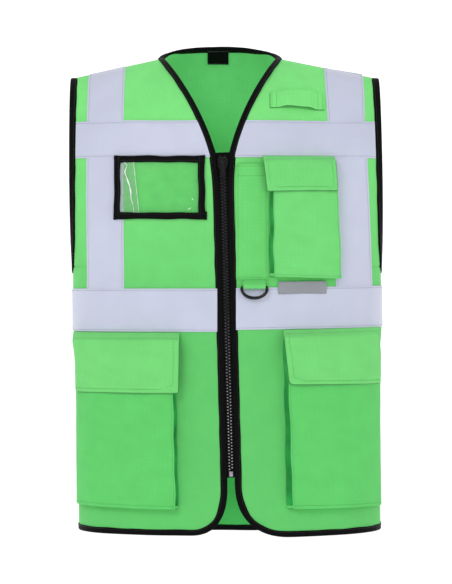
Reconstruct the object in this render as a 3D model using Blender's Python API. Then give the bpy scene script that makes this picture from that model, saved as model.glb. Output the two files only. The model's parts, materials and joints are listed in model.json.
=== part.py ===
"""High visibility vest, filled out as if worn, front towards -Y and up +Z.

Right and left are the wearer's. The origin is where the shoulders carry the vest: the neck ends of
the shoulder seams, on the centre plane of the body. Every cloth piece is a sheet laid on one body
surface, at its own height above it, so the layers never meet.
"""

import math

import bmesh
import bpy
from mathutils import Matrix, Vector

# Driving dimensions, in metres.
POWER = 2.6                 # roundness of the body section
HALF_WIDTH = 0.2085         # body half width at the waist
ARMHOLE_EXTRA = 0.034       # how much wider the body is at the shoulders, where the armholes cut it
FRONT_DEPTH = 0.124
BACK_DEPTH = 0.116
FRONT_SLOPE = 0.19          # height over which the chest rounds over to the shoulder
BACK_SLOPE = 0.12
LEAN = 0.011                # sideways lean of the vest, in metres per metre
NECK_X = -0.0095            # neck centre
NECK_HALF = 0.0775
NECK_RISE = 0.0205          # height of the back neck over the shoulder seams
NECK_SET_BACK = 0.0163      # further rise of the body line where the back neck curves away
NECK_BOW = 0.0083           # how far each V edge bows towards the middle
SHOULDER_DROP = {-1: 0.028, 1: 0.0255}
SHOULDER_TIP = 0.2035
ARMPIT_Z = -0.284
V_Z = -0.137                # bottom of the V neck
HEM_Z = -0.640
HEM_LIFT = {-1: 0.0025, 1: 0.0}     # the right front ends a little higher
HEM_SWEEP = {-1: 0.001, 1: 0.0035}  # rise of the hem from the middle to the side
CORNER = {-1: (0.048, 0.062), 1: (0.075, 0.075)}   # width and height of the parting corners
CORNER_POWER = 2.4
BACK_HEM_Z = -0.649
BACK_HEM_SWEEP = 0.0122
ZIP_TOP_X = -0.0060
ZIP_BOTTOM_X = 0.0053
ZIP_BOTTOM_Z = -0.560
EDGE_GAP = 0.0058           # zip centre to the edge of each front
V_GAP = 0.0090              # the same at the bottom of the V
BINDING = 0.0058          # how far the folded edge tape reaches in from the edge
BINDING_ROOM = 0.0074     # where the cloth panel starts behind it
SEAM_GAP = 0.0002

GREEN = (0.188, 0.700, 0.198)
BACK_GREEN = (0.100, 0.480, 0.120)
SILVER = (0.570, 0.597, 0.745)
BLACK = (0.009, 0.009, 0.010)
GREY = (0.300, 0.320, 0.350)

BRACE_RIGHT = (-0.1870, -0.1372)
BRACE_LEFT = (0.1312, 0.1790)
CHEST_TOP = -0.0905
CHEST_BOTTOM = -0.1395
WAIST_TOP = -0.3125
WAIST_BOTTOM = -0.3695


def clear_scene():
    for old in list(bpy.data.objects):
        bpy.data.objects.remove(old, do_unlink=True)


def material(name, colour, roughness, metallic=0.0, alpha=1.0):
    made = bpy.data.materials.new(name)
    made.use_nodes = True
    shader = made.node_tree.nodes["Principled BSDF"]
    shader.inputs["Base Color"].default_value = (*colour, 1.0)
    shader.inputs["Roughness"].default_value = roughness
    shader.inputs["Metallic"].default_value = metallic
    shader.inputs["Alpha"].default_value = alpha
    return made


def smooth(t):
    t = min(max(t, 0.0), 1.0)
    return t * t * (3 - 2 * t)


def centre_x(z):
    return LEAN * (-0.30 - z)


def half_width(z):
    up = min(max((z - ARMPIT_Z) / 0.14, 0.0), 1.0)
    wide = HALF_WIDTH + ARMHOLE_EXTRA * (1 - (1 - up ** 1.2) ** 1.7)
    return wide - 0.0045 * smooth((-0.365 - z) / 0.05)


def ridge(x):
    """Height of the shoulder line, and of the body line carried on across the neck."""
    out = abs(x - NECK_X)
    if out < NECK_HALF:
        share = out / NECK_HALF
        arch = 0.62 * (1 - share ** 2.4) + 0.38 * (1 - share ** 14)
        return NECK_RISE * arch + NECK_SET_BACK * (1 - share ** 2)
    drop = SHOULDER_DROP[-1 if x < NECK_X else 1]
    return -drop * (out - NECK_HALF) / (SHOULDER_TIP - NECK_HALF)


def slope_height(front):
    return FRONT_SLOPE if front else BACK_SLOPE


def body(front, x, z, lift=0.0):
    """The body surface at x and z, lifted off it along its normal."""
    wide = half_width(z)
    across = max(min((x - centre_x(z)) / wide, 1.0), -1.0)
    depth = FRONT_DEPTH if front else BACK_DEPTH
    section = (1 - abs(across) ** POWER) ** (1 / POWER)
    cosine = max(1 - (ridge(x) - z) / slope_height(front), 0.0)
    cosine = min(cosine, 1.0)
    sine = math.sqrt(1 - cosine * cosine)
    sign = -1.0 if front else 1.0
    side = math.copysign(abs(across) ** (POWER - 1), across)
    face = max(section, 1e-6) ** (POWER - 1)
    normal = Vector((side / wide * sine, sign * face / depth * sine, cosine / slope_height(front)))
    normal.normalize()
    place = Vector((centre_x(z) + across * wide, sign * (depth * section * sine + SEAM_GAP), z))
    return place + normal * lift


def shoulder_z(front, x, angle):
    """Height on the shoulder curve: 0 degrees is the ridge, 90 the straight body below."""
    return ridge(x) - slope_height(front) * (1 - math.cos(math.radians(angle)))


def arc_columns(front, z, x_from, x_to, count):
    """Evenly spaced x values round the body between two x values at one height."""
    wide = half_width(z)
    middle = centre_x(z)
    depth = FRONT_DEPTH if front else BACK_DEPTH

    def turn(x):
        across = max(min((x - middle) / wide, 1.0), -1.0)
        return math.asin(math.copysign(abs(across) ** (POWER / 2), across))

    def place(angle):
        sine = math.sin(angle)
        x = middle + wide * math.copysign(abs(sine) ** (2 / POWER), sine)
        return x, depth * abs(math.cos(angle)) ** (2 / POWER)

    low = turn(x_from)
    high = turn(x_to)
    steps = 160
    points = [place(low + (high - low) * i / steps) for i in range(steps + 1)]
    lengths = [0.0]
    for a, b in zip(points, points[1:]):
        lengths.append(lengths[-1] + math.hypot(b[0] - a[0], b[1] - a[1]))
    found = []
    at = 0
    for i in range(count + 1):
        want = lengths[-1] * i / count
        while at < steps - 1 and lengths[at + 1] < want:
            at += 1
        part = (want - lengths[at]) / max(lengths[at + 1] - lengths[at], 1e-12)
        found.append(points[at][0] + (points[at + 1][0] - points[at][0]) * min(part, 1.0))
    return found


def finish(name, mesh_builder, look, origin=(0, 0, 0), parent=None):
    """Turn a bmesh in world coordinates into a named object whose origin is at the given point."""
    bmesh.ops.recalc_face_normals(mesh_builder, faces=mesh_builder.faces)
    if mesh_builder.calc_volume(signed=True) < 0:
        bmesh.ops.reverse_faces(mesh_builder, faces=mesh_builder.faces)
    bmesh.ops.translate(mesh_builder, vec=-Vector(origin), verts=mesh_builder.verts)
    mesh = bpy.data.meshes.new(name)
    mesh_builder.to_mesh(mesh)
    mesh_builder.free()
    made = bpy.data.objects.new(name, mesh)
    bpy.context.collection.objects.link(made)
    made.location = origin
    made.data.materials.append(look)
    for face in made.data.polygons:
        face.use_smooth = True
    if parent is not None:
        made.parent = parent
        made.location = Vector(origin) - parent.location
    return made


def sheet(name, top, bottom, look, origin=(0, 0, 0), parent=None):
    """A closed sheet between two grids of points that share one layout."""
    built = bmesh.new()
    upper = [[built.verts.new(p) for p in row] for row in top]
    lower = [[built.verts.new(p) for p in row] for row in bottom]
    rows = len(top)
    columns = len(top[0])
    for r in range(rows - 1):
        for c in range(columns - 1):
            built.faces.new((upper[r][c], upper[r][c + 1], upper[r + 1][c + 1], upper[r + 1][c]))
            built.faces.new((lower[r][c], lower[r + 1][c], lower[r + 1][c + 1], lower[r][c + 1]))
    ring = [(0, c) for c in range(columns)]
    ring += [(r, columns - 1) for r in range(1, rows)]
    ring += [(rows - 1, c) for c in range(columns - 2, -1, -1)]
    ring += [(r, 0) for r in range(rows - 2, 0, -1)]
    for (r0, c0), (r1, c1) in zip(ring, ring[1:] + ring[:1]):
        built.faces.new((upper[r0][c0], lower[r0][c0], lower[r1][c1], upper[r1][c1]))
    return finish(name, built, look, origin, parent)


def laid(name, front, grid, low, high, look, **more):
    """A sheet on the body surface; grid holds (x, z) pairs, low and high are heights above it."""
    top = [[body(front, x, z, high) for x, z in row] for row in grid]
    bottom = [[body(front, x, z, low) for x, z in row] for row in grid]
    return sheet(name, top, bottom, look, **more)


def patch(front, x_from, x_to, z_top, z_bottom, columns, rows):
    """A grid of (x, z) pairs between four edges; each edge is a number or a function."""
    def value(edge, at):
        return edge(at) if callable(edge) else edge

    grid = []
    for r in range(rows + 1):
        part = r / rows
        middle = value(z_top, 0.5) * (1 - part) + value(z_bottom, 0.5) * part
        xs = arc_columns(front, middle, value(x_from, part), value(x_to, part), columns)
        row = []
        for c, x in enumerate(xs):
            share = c / columns
            z = value(z_top, share) * (1 - part) + value(z_bottom, share) * part
            across = (x - centre_x(middle)) / half_width(middle)
            row.append((centre_x(z) + across * half_width(z), z))
        grid.append(row)
    return grid


def zip_x(z):
    return ZIP_TOP_X + (ZIP_BOTTOM_X - ZIP_TOP_X) * (V_Z - z) / (V_Z - ZIP_BOTTOM_Z)


def armhole_x(z, side):
    """Edge of the armhole; below it the side seam."""
    if z > ARMPIT_Z:
        return centre_x(z) + side * (0.2095 + 0.001 * smooth((ARMPIT_Z - z) / 0.2) - 0.0015)
    return centre_x(z) + side * half_width(z)


def side_arc(front, z, x, side):
    """Length round the body from the side seam in to x, at one height."""
    wide = half_width(z)
    depth = FRONT_DEPTH if front else BACK_DEPTH
    across = min(abs(x - centre_x(z)) / wide, 1.0)
    start = math.asin(across ** (POWER / 2))
    total = 0.0
    before = None
    for step in range(25):
        turn = start + (math.pi / 2 - start) * step / 24
        here = (wide * math.sin(turn) ** (2 / POWER), depth * max(math.cos(turn), 0.0) ** (2 / POWER))
        if before is not None:
            total += math.hypot(here[0] - before[0], here[1] - before[1])
        before = here
    return total


def panel_side_x(front, z, side):
    """Where the panel ends beside the armhole binding; the side seam below the armhole."""
    if z > ARMPIT_Z + 0.05:
        cosine = min(max(1 - (ridge(side * 0.21) - z) / slope_height(front), 0.0), 1.0)
        sine = math.sqrt(1 - cosine * cosine)
        return armhole_x(z, side) - side * BINDING_ROOM * (1 - 0.22 * sine)
    if z <= ARMPIT_Z - BINDING_ROOM:
        return centre_x(z) + side * half_width(z)
    reach = 0.0
    for step in range(-12, 13):
        dz = BINDING_ROOM * step / 12
        if z + dz >= ARMPIT_Z:
            arc = side_arc(front, z + dz, armhole_x(z + dz, side), side) + (0.0 if front else 0.0015)
            reach = max(reach, arc + math.sqrt(BINDING_ROOM ** 2 - dz * dz))
    low = 0.0
    high = half_width(z)
    for _ in range(30):
        middle = (low + high) / 2
        if side_arc(front, z, centre_x(z) + side * middle, side) > reach:
            low = middle
        else:
            high = middle
    return centre_x(z) + side * low


def front_edge(z, side):
    """Edge of a front: the V neck, then the zip line, then the parting below the zip."""
    if z > V_Z:
        neck = NECK_X + side * NECK_HALF
        foot = zip_x(V_Z) + side * V_GAP
        share = min(z / V_Z, 1.0)
        return neck + (foot - neck) * share - side * NECK_BOW * 4 * share * (1 - share)
    gap = EDGE_GAP + (V_GAP - EDGE_GAP) * smooth((z - V_Z + 0.045) / 0.045)
    return zip_x(max(z, ZIP_BOTTOM_Z)) + side * gap


def hem_z(x, side, inset=0.0):
    """Bottom edge of a front, with the rounded corner at the parting."""
    corner_wide = CORNER[side][0] - inset
    corner_high = CORNER[side][1] - inset
    edge = front_edge(HEM_Z, side) + side * inset
    run = min(max(side * (x - edge) / corner_wide, 0.0), 1.0)
    flat = HEM_Z + HEM_LIFT[side] + inset + HEM_SWEEP[side] * (abs(x) / 0.2) ** 2
    drop = (1 - (1 - run) ** CORNER_POWER) ** (1 / CORNER_POWER)
    return flat + corner_high * (1 - drop)


def back_hem_z(x):
    return BACK_HEM_Z + BACK_HEM_SWEEP * (abs(x) / 0.2) ** 3


def panel_front_x(z, side):
    """Where the panel ends beside the front binding; further in beside the slanting V neck."""
    slant = smooth((z - V_Z + 0.01) / 0.03) * (0.05 + 0.22 * max(1 - z / V_Z, 0.0))
    return front_edge(z, side) + side * BINDING_ROOM * (1 + slant)


def front_panel_grid(side):
    """Rows from the shoulder seam to the hem, columns from the front edge to the armhole or side."""
    shares = [0, 3, 8, 16, 27, 39, 51, 63, 74, 83, 90, 95, 100]

    def row_at(middle, inner, outer):
        xs = arc_columns(True, middle, inner, outer, 100)
        return [xs[s] for s in shares]

    grid = []
    for angle in (0, 9, 18, 28, 40, 53, 67, 80, 90):
        inner = NECK_X + side * NECK_HALF
        for _ in range(12):
            inner = panel_front_x(shoulder_z(True, inner, angle), side)
        outer = panel_side_x(True, shoulder_z(True, side * 0.21, angle), side)
        middle = shoulder_z(True, (inner + outer) / 2, angle)
        grid.append([(x, shoulder_z(True, x, angle)) for x in row_at(middle, inner, outer)])
    knee = grid[-1]
    low = ARMPIT_Z - BINDING_ROOM - 0.0005
    for part in (0.35, 0.62, 0.80, 0.90, 0.96, 1.0):
        heights = [z + (low - z) * part for _, z in knee]
        inner = panel_front_x(heights[0], side)
        outer = panel_side_x(True, heights[-1], side)
        grid.append(list(zip(row_at(heights[6], inner, outer), heights)))
    for step in range(1, 8):
        part = step / 7
        wanted = low + (HEM_Z - low) * part
        outer = centre_x(wanted) + side * half_width(wanted)
        xs = row_at(wanted, panel_front_x(wanted, side), outer)
        row = [(x, low + (hem_z(x, side, BINDING_ROOM) - low) * part) for x in xs]
        z_seam = row[-1][1]
        row[-1] = (centre_x(z_seam) + side * half_width(z_seam), z_seam)
        grid.append(row)
    return grid


def back_panel_grid():
    """Rows from the shoulder seams and back neck to the hem, columns from armhole to armhole."""
    def top_angle(x):
        out = min(abs(x - NECK_X) / (NECK_HALF + BINDING_ROOM + 0.0016), 1.0)
        return 36.0 * math.sqrt(1 - out * out)

    count = 24
    grid = []
    for part in (0, 0.12, 0.25, 0.4, 0.6, 0.8, 1.0):
        z_mid = shoulder_z(False, 0.21, 90 * part)
        xs = arc_columns(False, z_mid, panel_side_x(False, z_mid, -1), panel_side_x(False, z_mid, 1), count)
        row = []
        for x in xs:
            low = top_angle(x)
            row.append((x, shoulder_z(False, x, low + (90 - low) * part)))
        grid.append(row)
    knee = grid[-1]
    floor = ARMPIT_Z - BINDING_ROOM - 0.0025
    for part in (0.35, 0.62, 0.80, 0.90, 0.96, 1.0):
        heights = [z + (floor - z) * part for _, z in knee]
        edge = heights[0]
        xs = arc_columns(False, edge, panel_side_x(False, edge, -1), panel_side_x(False, edge, 1), count)
        grid.append(list(zip(xs, heights)))
    for step in range(1, 5):
        part = step / 4
        level = floor + (BACK_HEM_Z + BACK_HEM_SWEEP + BINDING_ROOM - floor) * part
        reach = half_width(level)
        row = []
        for x in arc_columns(False, level, centre_x(level) - reach, centre_x(level) + reach, count):
            z = floor + (back_hem_z(x) + BINDING_ROOM - floor) * part
            row.append((centre_x(z) + (x - centre_x(level)) / reach * half_width(z), z))
        grid.append(row)
    return grid


def binding(name, path, look, closed=False):
    """Folded tape round a cloth edge. The path holds (point, normal, inward direction) stations."""
    profile = ((-0.0012, -0.0012), (-0.0012, 0.0012), (BINDING, 0.0016), (BINDING, -0.0016))
    built = bmesh.new()
    rings = []
    for point, normal, inward in path:
        rings.append([built.verts.new(point + inward * e + normal * k) for e, k in profile])
    count = len(profile)
    joins = list(zip(rings, rings[1:]))
    if closed:
        joins.append((rings[-1], rings[0]))
    for a, b in joins:
        for i in range(count):
            built.faces.new((a[i], a[(i + 1) % count], b[(i + 1) % count], b[i]))
    if not closed:
        built.faces.new(rings[0])
        built.faces.new(list(reversed(rings[-1])))
    return finish(name, built, look)


def stations(points, inside, closed=False):
    """Normals and inward directions along an edge. Each point is (front, x, z)."""
    places = [body(f, x, z) for f, x, z in points]
    ups = [(body(f, x, z, 0.01) - body(f, x, z)).normalized() for f, x, z in points]
    count = len(places)
    found = []
    for i, place in enumerate(places):
        after = places[(i + 1) % count] if closed or i < count - 1 else place
        before = places[i - 1] if closed or i > 0 else place
        along = (after - before).normalized()
        up = (ups[i] - along * ups[i].dot(along)).normalized()
        inward = up.cross(along)
        if inward.dot(inside(place) - place) < 0:
            inward = -inward
        found.append((place, up, inward))
    return found


def armhole_path(side):
    path = []
    for step in range(19):
        z = ARMPIT_Z + 0.0005 + (shoulder_z(True, side * 0.21, 80) - ARMPIT_Z) * (1 - math.cos(math.pi / 2 * step / 18))
        path.append((True, armhole_x(z, side), z))
    for angle in (70, 60, 50, 40, 30, 20, 10):
        x = armhole_x(shoulder_z(True, side * 0.21, angle), side)
        path.append((True, x, shoulder_z(True, x, angle)))
    for angle in (4, 14, 26, 38, 50, 62, 74, 86):
        x = armhole_x(shoulder_z(False, side * 0.21, angle), side)
        path.append((False, x, shoulder_z(False, x, angle)))
    for step in range(17, 0, -1):
        z = ARMPIT_Z + 0.0005 + (shoulder_z(False, side * 0.21, 90) - ARMPIT_Z) * (1 - math.cos(math.pi / 2 * step / 18))
        path.append((False, armhole_x(z, side), z))
    return path


def armhole_inside(place):
    """A point on the cloth side of the armhole edge."""
    if place.z < ARMPIT_Z + 0.03:
        return place + Vector((0, math.copysign(0.01, place.y), -0.03))
    return Vector((0, place.y * 1.2, place.z))


def neck_path():
    path = []
    for step in range(11):
        z = V_Z + 0.012 + (0 - V_Z - 0.012) * (step / 11) ** 0.8
        path.append((True, front_edge(z, -1), z))
    for step in range(17):
        turn = math.pi * step / 16
        x = NECK_X - NECK_HALF * math.cos(turn)
        angle = 1.5 + 29 * math.sin(turn)
        path.append((False, x, shoulder_z(False, x, angle)))
    for step in range(10, -1, -1):
        z = V_Z + 0.012 + (0 - V_Z - 0.012) * (step / 11) ** 0.8
        path.append((True, front_edge(z, 1), z))
    return path


def front_path(side):
    """From the bottom of the V down the zip edge, round the corner and along the hem."""
    path = []
    edge = front_edge(HEM_Z, side)
    corner_top = hem_z(edge, side)
    for step in range(14):
        z = V_Z + 0.0080 - (V_Z + 0.0080 - corner_top) * step / 13
        path.append((True, front_edge(z, side), z))
    for step in range(1, 10):
        cosine = math.cos(math.pi / 2 * step / 9)
        x = edge + side * CORNER[side][0] * (1 - max(cosine, 0.0) ** (2 / CORNER_POWER))
        path.append((True, x, hem_z(x, side)))
    last = path[-1][1]
    end = centre_x(HEM_Z) + side * half_width(HEM_Z) * 0.99995
    for x in arc_columns(True, HEM_Z, last, end, 14)[1:]:
        z = hem_z(x, side)
        share = (x - centre_x(HEM_Z)) / half_width(HEM_Z)
        path.append((True, centre_x(z) + share * half_width(z), z))
    return path


def hem_path():
    z = BACK_HEM_Z + BACK_HEM_SWEEP
    reach = half_width(z) * 0.99995
    xs = arc_columns(False, z, centre_x(z) - reach, centre_x(z) + reach, 30)
    path = []
    for x in xs:
        low = back_hem_z(x)
        path.append((False, centre_x(low) + (x - centre_x(z)) / half_width(z) * half_width(low), low))
    return path


def zip_frame():
    """Matrix with -Z down the zip line and the chain in its XZ plane."""
    lean = math.atan2(ZIP_BOTTOM_X - ZIP_TOP_X, V_Z - ZIP_BOTTOM_Z)
    return Matrix.Translation((zip_x(V_Z), -FRONT_DEPTH, V_Z)) @ Matrix.Rotation(-lean, 4, "Y")


def extruded(name, outline, low, high, look, turn, origin=(0, 0, 0), parent=None):
    """A flat outline of (x, z) points given a thickness in y, then placed by a matrix."""
    built = bmesh.new()
    near = [built.verts.new(turn @ Vector((x, low, z))) for x, z in outline]
    far = [built.verts.new(turn @ Vector((x, high, z))) for x, z in outline]
    built.faces.new(near)
    built.faces.new(list(reversed(far)))
    count = len(outline)
    for i in range(count):
        built.faces.new((near[i], far[i], far[(i + 1) % count], near[(i + 1) % count]))
    return finish(name, built, look, origin, parent)


def teeth_outline(side, pitch, length):
    """A comb: a spine beside the tape edge and one tooth per pitch reaching past the centre."""
    spine = 0.0036 * side
    root = 0.0022 * side
    tip = -0.0014 * side
    start = -0.020 - (pitch / 2 if side > 0 else 0.0)
    outline = [(spine, -0.0185), (root, -0.0185)]
    z = start
    while z - pitch * 0.36 > -length:
        outline += [(root, z), (tip, z - pitch * 0.06), (tip, z - pitch * 0.30), (root, z - pitch * 0.36)]
        z -= pitch
    outline += [(root, -length), (spine, -length)]
    return outline


def pouch(name, front, corners, rise, look, columns=8, rows=4, wall=0.0008, base=0.0046):
    """A bellows pocket open at its top: a front face standing off the body on folded sides.

    corners: x_left, x_right, z_top, z_bottom. rise: height of the front face at left and right.
    """
    x_left, x_right, z_top, z_bottom = corners

    def layer(inset):
        shares = [0.0, 0.0] + [i / columns for i in range(columns + 1)] + [1.0, 1.0]
        places = []
        for r in range(rows + 3):
            down = min(r / rows, 1.0)
            floor = r - rows
            row = []
            for c, share in enumerate(shares):
                left = x_left + inset
                right = x_right - inset
                slope = 0.0025
                x = left + slope + (right - left - 2 * slope) * share
                lift = rise[0] + (rise[1] - rise[0]) * share - inset
                z = z_top + (z_bottom + inset + slope - z_top) * down
                if c == 0 or c == len(shares) - 1:
                    x = left if c == 0 else right
                    lift = base
                if c in (1, len(shares) - 2):
                    x = left + slope * 0.4 if c == 1 else right - slope * 0.4
                    lift = base + (lift - base) * 0.55
                if floor == 1:
                    z = z_bottom + inset + slope * 0.4
                    lift = base + (lift - base) * 0.55
                if floor == 2:
                    z = z_bottom + inset
                    lift = base
                row.append(body(front, x, z, lift))
            places.append(row)
        return places

    return sheet(name, layer(0.0), layer(wall), look)


def flap_grid(corners, lifts, columns, radius):
    """Grid of (x, z, lift) for a flap with rounded lower corners."""
    x_left, x_right, z_top, z_bottom = corners
    xs = arc_columns(True, (z_top + z_bottom) / 2, x_left, x_right, columns)
    downs = (0.0, 0.08, 0.2, 0.45, 0.72, 1.0)
    grid = []
    for down in downs:
        row = []
        for c, x in enumerate(xs):
            share = c / columns
            edge = min(x - x_left, x_right - x)
            cut = radius * (1 - math.sqrt(1 - (1 - min(edge / radius, 1.0)) ** 2)) if radius > 0 else 0.0
            z = z_top + (z_bottom + cut - z_top) * down
            full = lifts[0] + (lifts[1] - lifts[0]) * share
            row.append((x, z, 0.0046 + (full - 0.0046) * smooth(down / 0.2)))
        grid.append(row)
    return grid


def flap(name, corners, lifts, look, columns=10, radius=0.009, parent=None):
    grid = flap_grid(corners, lifts, columns, radius)
    top = [[body(True, x, z, lift + 0.0010) for x, z, lift in row] for row in grid]
    bottom = [[body(True, x, z, lift) for x, z, lift in row] for row in grid]
    return sheet(name, top, bottom, look, origin=parent.location, parent=parent)


def hinge_empty(name, location):
    made = bpy.data.objects.new(name, None)
    bpy.context.collection.objects.link(made)
    made.location = location
    return made


def ring_sweep(name, centre, outline, radius, sides, look, parent):
    """A wire of round section bent along a closed outline of (x, z) points."""
    built = bmesh.new()
    count = len(outline)
    rings = []
    for i, (x, z) in enumerate(outline):
        before = Vector((outline[i - 1][0], 0, outline[i - 1][1]))
        after = Vector((outline[(i + 1) % count][0], 0, outline[(i + 1) % count][1]))
        here = Vector((x, 0, z))
        along = ((here - before).normalized() + (after - here).normalized()).normalized()
        out = along.cross(Vector((0, 1, 0)))
        ring = []
        for k in range(sides):
            turn = 2 * math.pi * k / sides
            local = here + out * radius * math.cos(turn) + Vector((0, radius * math.sin(turn), 0))
            ring.append(built.verts.new(Vector(centre) + local))
        rings.append(ring)
    for i in range(count):
        a = rings[i]
        b = rings[(i + 1) % count]
        for k in range(sides):
            built.faces.new((a[k], a[(k + 1) % sides], b[(k + 1) % sides], b[k]))
    return finish(name, built, look, centre, parent)


def build_panels(green, deep):
    for side, word in ((-1, "right"), (1, "left")):
        laid("front_panel_" + word, True, front_panel_grid(side), -0.0004, 0.0004, green)
    laid("back_panel", False, back_panel_grid(), -0.0004, 0.0004, deep)


def build_bindings(black):
    def neck_inside(place):
        return place + Vector((place.x - NECK_X, 0.06 if place.y > 0 else 0.0, -0.08))

    binding("neck_binding", stations(neck_path(), neck_inside), black)
    for side, word in ((-1, "right"), (1, "left")):
        path = stations(armhole_path(side), armhole_inside, closed=True)
        binding("armhole_binding_" + word, path, black, closed=True)
        inside = Vector((side * 0.12, -0.12, -0.45))
        path = stations(front_path(side), lambda place: inside)
        binding("front_binding_" + word, path, black)
    binding("back_hem_binding", stations(hem_path(), lambda place: place + Vector((0, 0, 1))), black)


def build_tapes(silver):
    for (x_from, x_to), word, side in ((BRACE_RIGHT, "right", -1), (BRACE_LEFT, "left", 1)):
        drift = 0.0132 if side > 0 else 0.001

        def drawn(x, z, drift=drift):
            return x + drift * min(max((-0.035 - z) / 0.2775, 0.0), 1.0)

        angles = [3, 8, 14, 20, 26, 32, 38, 44, 50, 56, 62, 68, 74, 80, 86, 90]
        grid = []
        for angle in angles:
            xs = [x_from + (x_to - x_from) * i / 4 for i in range(5)]
            heights = [shoulder_z(True, x, angle) for x in xs]
            grid.append([(drawn(x, z), z) for x, z in zip(xs, heights)])
        knee = heights
        for step in range(1, 5):
            heights = [z + (WAIST_TOP + 0.002 - z) * step / 4 for z in knee]
            grid.append([(drawn(x, z), z) for x, z in zip(xs, heights)])
        laid("brace_tape_front_" + word, True, grid, 0.0013, 0.0018, silver)
        grid = []
        for angle in (3, 12, 21, 30, 39, 48, 57, 66, 75, 84, 90):
            xs = [x_from + (x_to - x_from) * i / 4 for i in range(5)]
            grid.append([(x, shoulder_z(False, x, angle)) for x in xs])
        for step in range(1, 6):
            part = step / 5
            grid.append([(x, z + (WAIST_TOP + 0.002 - z) * part) for x, z in grid[10]])
        laid("brace_tape_back_" + word, False, grid, 0.0013, 0.0018, silver)
    for side, word in ((-1, "right"), (1, "left")):
        def front_start(z, side=side):
            return front_edge(z, side) + side * 0.0085

        def armhole_end(z, side=side):
            return armhole_x(z, side) - side * 0.0066

        def chest_z(part):
            return CHEST_TOP + (CHEST_BOTTOM - CHEST_TOP) * part

        grid = patch(True, lambda p: front_start(chest_z(p)), lambda p: armhole_end(chest_z(p)),
                     CHEST_TOP, CHEST_BOTTOM, 12, 4)
        laid("chest_tape_" + word, True, grid, 0.0026, 0.0031, silver)
        rise = 0.0 if side < 0 else 0.004
        low_part = 0.0 if side < 0 else 0.0025
        end = centre_x(-0.34) + side * half_width(-0.34)
        grid = patch(True, lambda p: front_start(-0.34), end,
                     lambda s: WAIST_TOP + rise * s + low_part * 0.3,
                     lambda s: WAIST_BOTTOM + low_part + rise * s, 16, 1)
        laid("waist_tape_" + word, True, grid, 0.0026, 0.0031, silver)
    grid = patch(False, lambda p: armhole_x(-0.11, -1) + 0.0066, lambda p: armhole_x(-0.11, 1) - 0.0066,
                 CHEST_TOP, CHEST_BOTTOM, 22, 4)
    laid("chest_tape_back", False, grid, 0.0026, 0.0031, silver)
    reach = half_width(-0.34)
    middle = centre_x(-0.34)
    grid = patch(False, middle - reach, middle + reach, WAIST_TOP, WAIST_BOTTOM, 30, 1)
    laid("waist_tape_back", False, grid, 0.0026, 0.0031, silver)


def build_zip(black, steel):
    turn = zip_frame()
    length = V_Z - ZIP_BOTTOM_Z
    for side, word in ((-1, "right"), (1, "left")):
        outline = [(0.0040 * side, -0.001), (0.0150 * side, -0.001), (0.0150 * side, -length - 0.002),
                   (0.0040 * side, -length - 0.002)]
        extruded("zip_tape_" + word, outline, 0.0030, 0.0035, black, turn)
        pitch = 0.0123
        extruded("zip_teeth_" + word, teeth_outline(side, pitch, length - 0.012), -0.0009, 0.0016, black, turn)
        stop = [(0.0022 * side, -0.0002), (0.0036 * side, -0.0002), (0.0036 * side, -0.0030), (0.0022 * side, -0.0030)]
        extruded("zip_top_stop_" + word, stop, -0.0009, 0.0016, black, turn)
    pin = [(-0.0034, -length + 0.0105), (-0.0006, -length + 0.0105), (-0.0006, -length), (-0.0034, -length)]
    extruded("zip_insert_pin", pin, -0.0012, 0.0014, steel, turn)
    box = [(-0.0003, -length + 0.0062), (0.0029, -length + 0.0062), (0.0029, -length - 0.0005),
           (-0.0003, -length - 0.0005)]
    extruded("zip_retainer_box", box, -0.0018, 0.0014, steel, turn)
    carrier = hinge_empty("zip_slider_axis", turn @ Vector((0, 0, -0.010)))
    face = [(-0.0042, -0.0035), (0.0042, -0.0035), (0.0070, -0.0052), (0.0066, -0.0135), (0.0042, -0.0180),
            (-0.0042, -0.0180), (-0.0066, -0.0135), (-0.0070, -0.0052)]
    extruded("zip_slider", face, -0.0046, -0.0032, black, turn, carrier.location, carrier)
    extruded("zip_slider_back", face, 0.0046, 0.0058, black, turn, carrier.location, carrier)
    pivot = turn @ Vector((0, -0.0062, -0.0080))
    hang = hinge_empty("zip_pull_axis", pivot)
    tab = [(-0.0030, 0.0012), (0.0030, 0.0012), (0.0034, -0.020), (0.0026, -0.0225), (-0.0026, -0.0225),
           (-0.0034, -0.020)]
    lean = turn.to_3x3().to_4x4()
    extruded("zip_pull", tab, -0.0008, 0.0008, black, Matrix.Translation(pivot) @ lean, pivot, hang)


def build_id_window(black, clear):
    x_left, x_right, z_top, z_bottom = -0.1490, -0.0290, -0.1375, -0.2205
    border = 0.0080
    built = bmesh.new()

    def ring_points(inset, lift):
        places = []
        left = x_left + inset
        right = x_right - inset
        high = z_top - inset
        low = z_bottom + inset
        for i in range(10):
            places.append(body(True, left + (right - left) * i / 10, high, lift))
        for i in range(6):
            places.append(body(True, right, high + (low - high) * i / 6, lift))
        for i in range(10):
            places.append(body(True, right + (left - right) * i / 10, low, lift))
        for i in range(6):
            places.append(body(True, left, low + (high - low) * i / 6, lift))
        return places

    loops = [[built.verts.new(p) for p in ring_points(inset, lift)]
             for inset, lift in ((0, 0.0040), (0, 0.0054), (border, 0.0054), (border, 0.0040))]
    count = len(loops[0])
    for a, b in zip(loops, loops[1:] + loops[:1]):
        for i in range(count):
            built.faces.new((a[i], a[(i + 1) % count], b[(i + 1) % count], b[i]))
    finish("id_window_frame", built, black)
    inset = border + 0.0003
    strip_x = x_left + 0.026
    grid = patch(True, strip_x + 0.0003, x_right - inset, z_top - inset, z_bottom + inset, 8, 3)
    laid("id_window_film", True, grid, 0.0043, 0.0046, clear)
    grid = patch(True, x_left + inset, strip_x, z_top - inset, z_bottom + inset, 2, 3)
    laid("id_window_side_strip", True, grid, 0.0043, 0.0046, clear)


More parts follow.
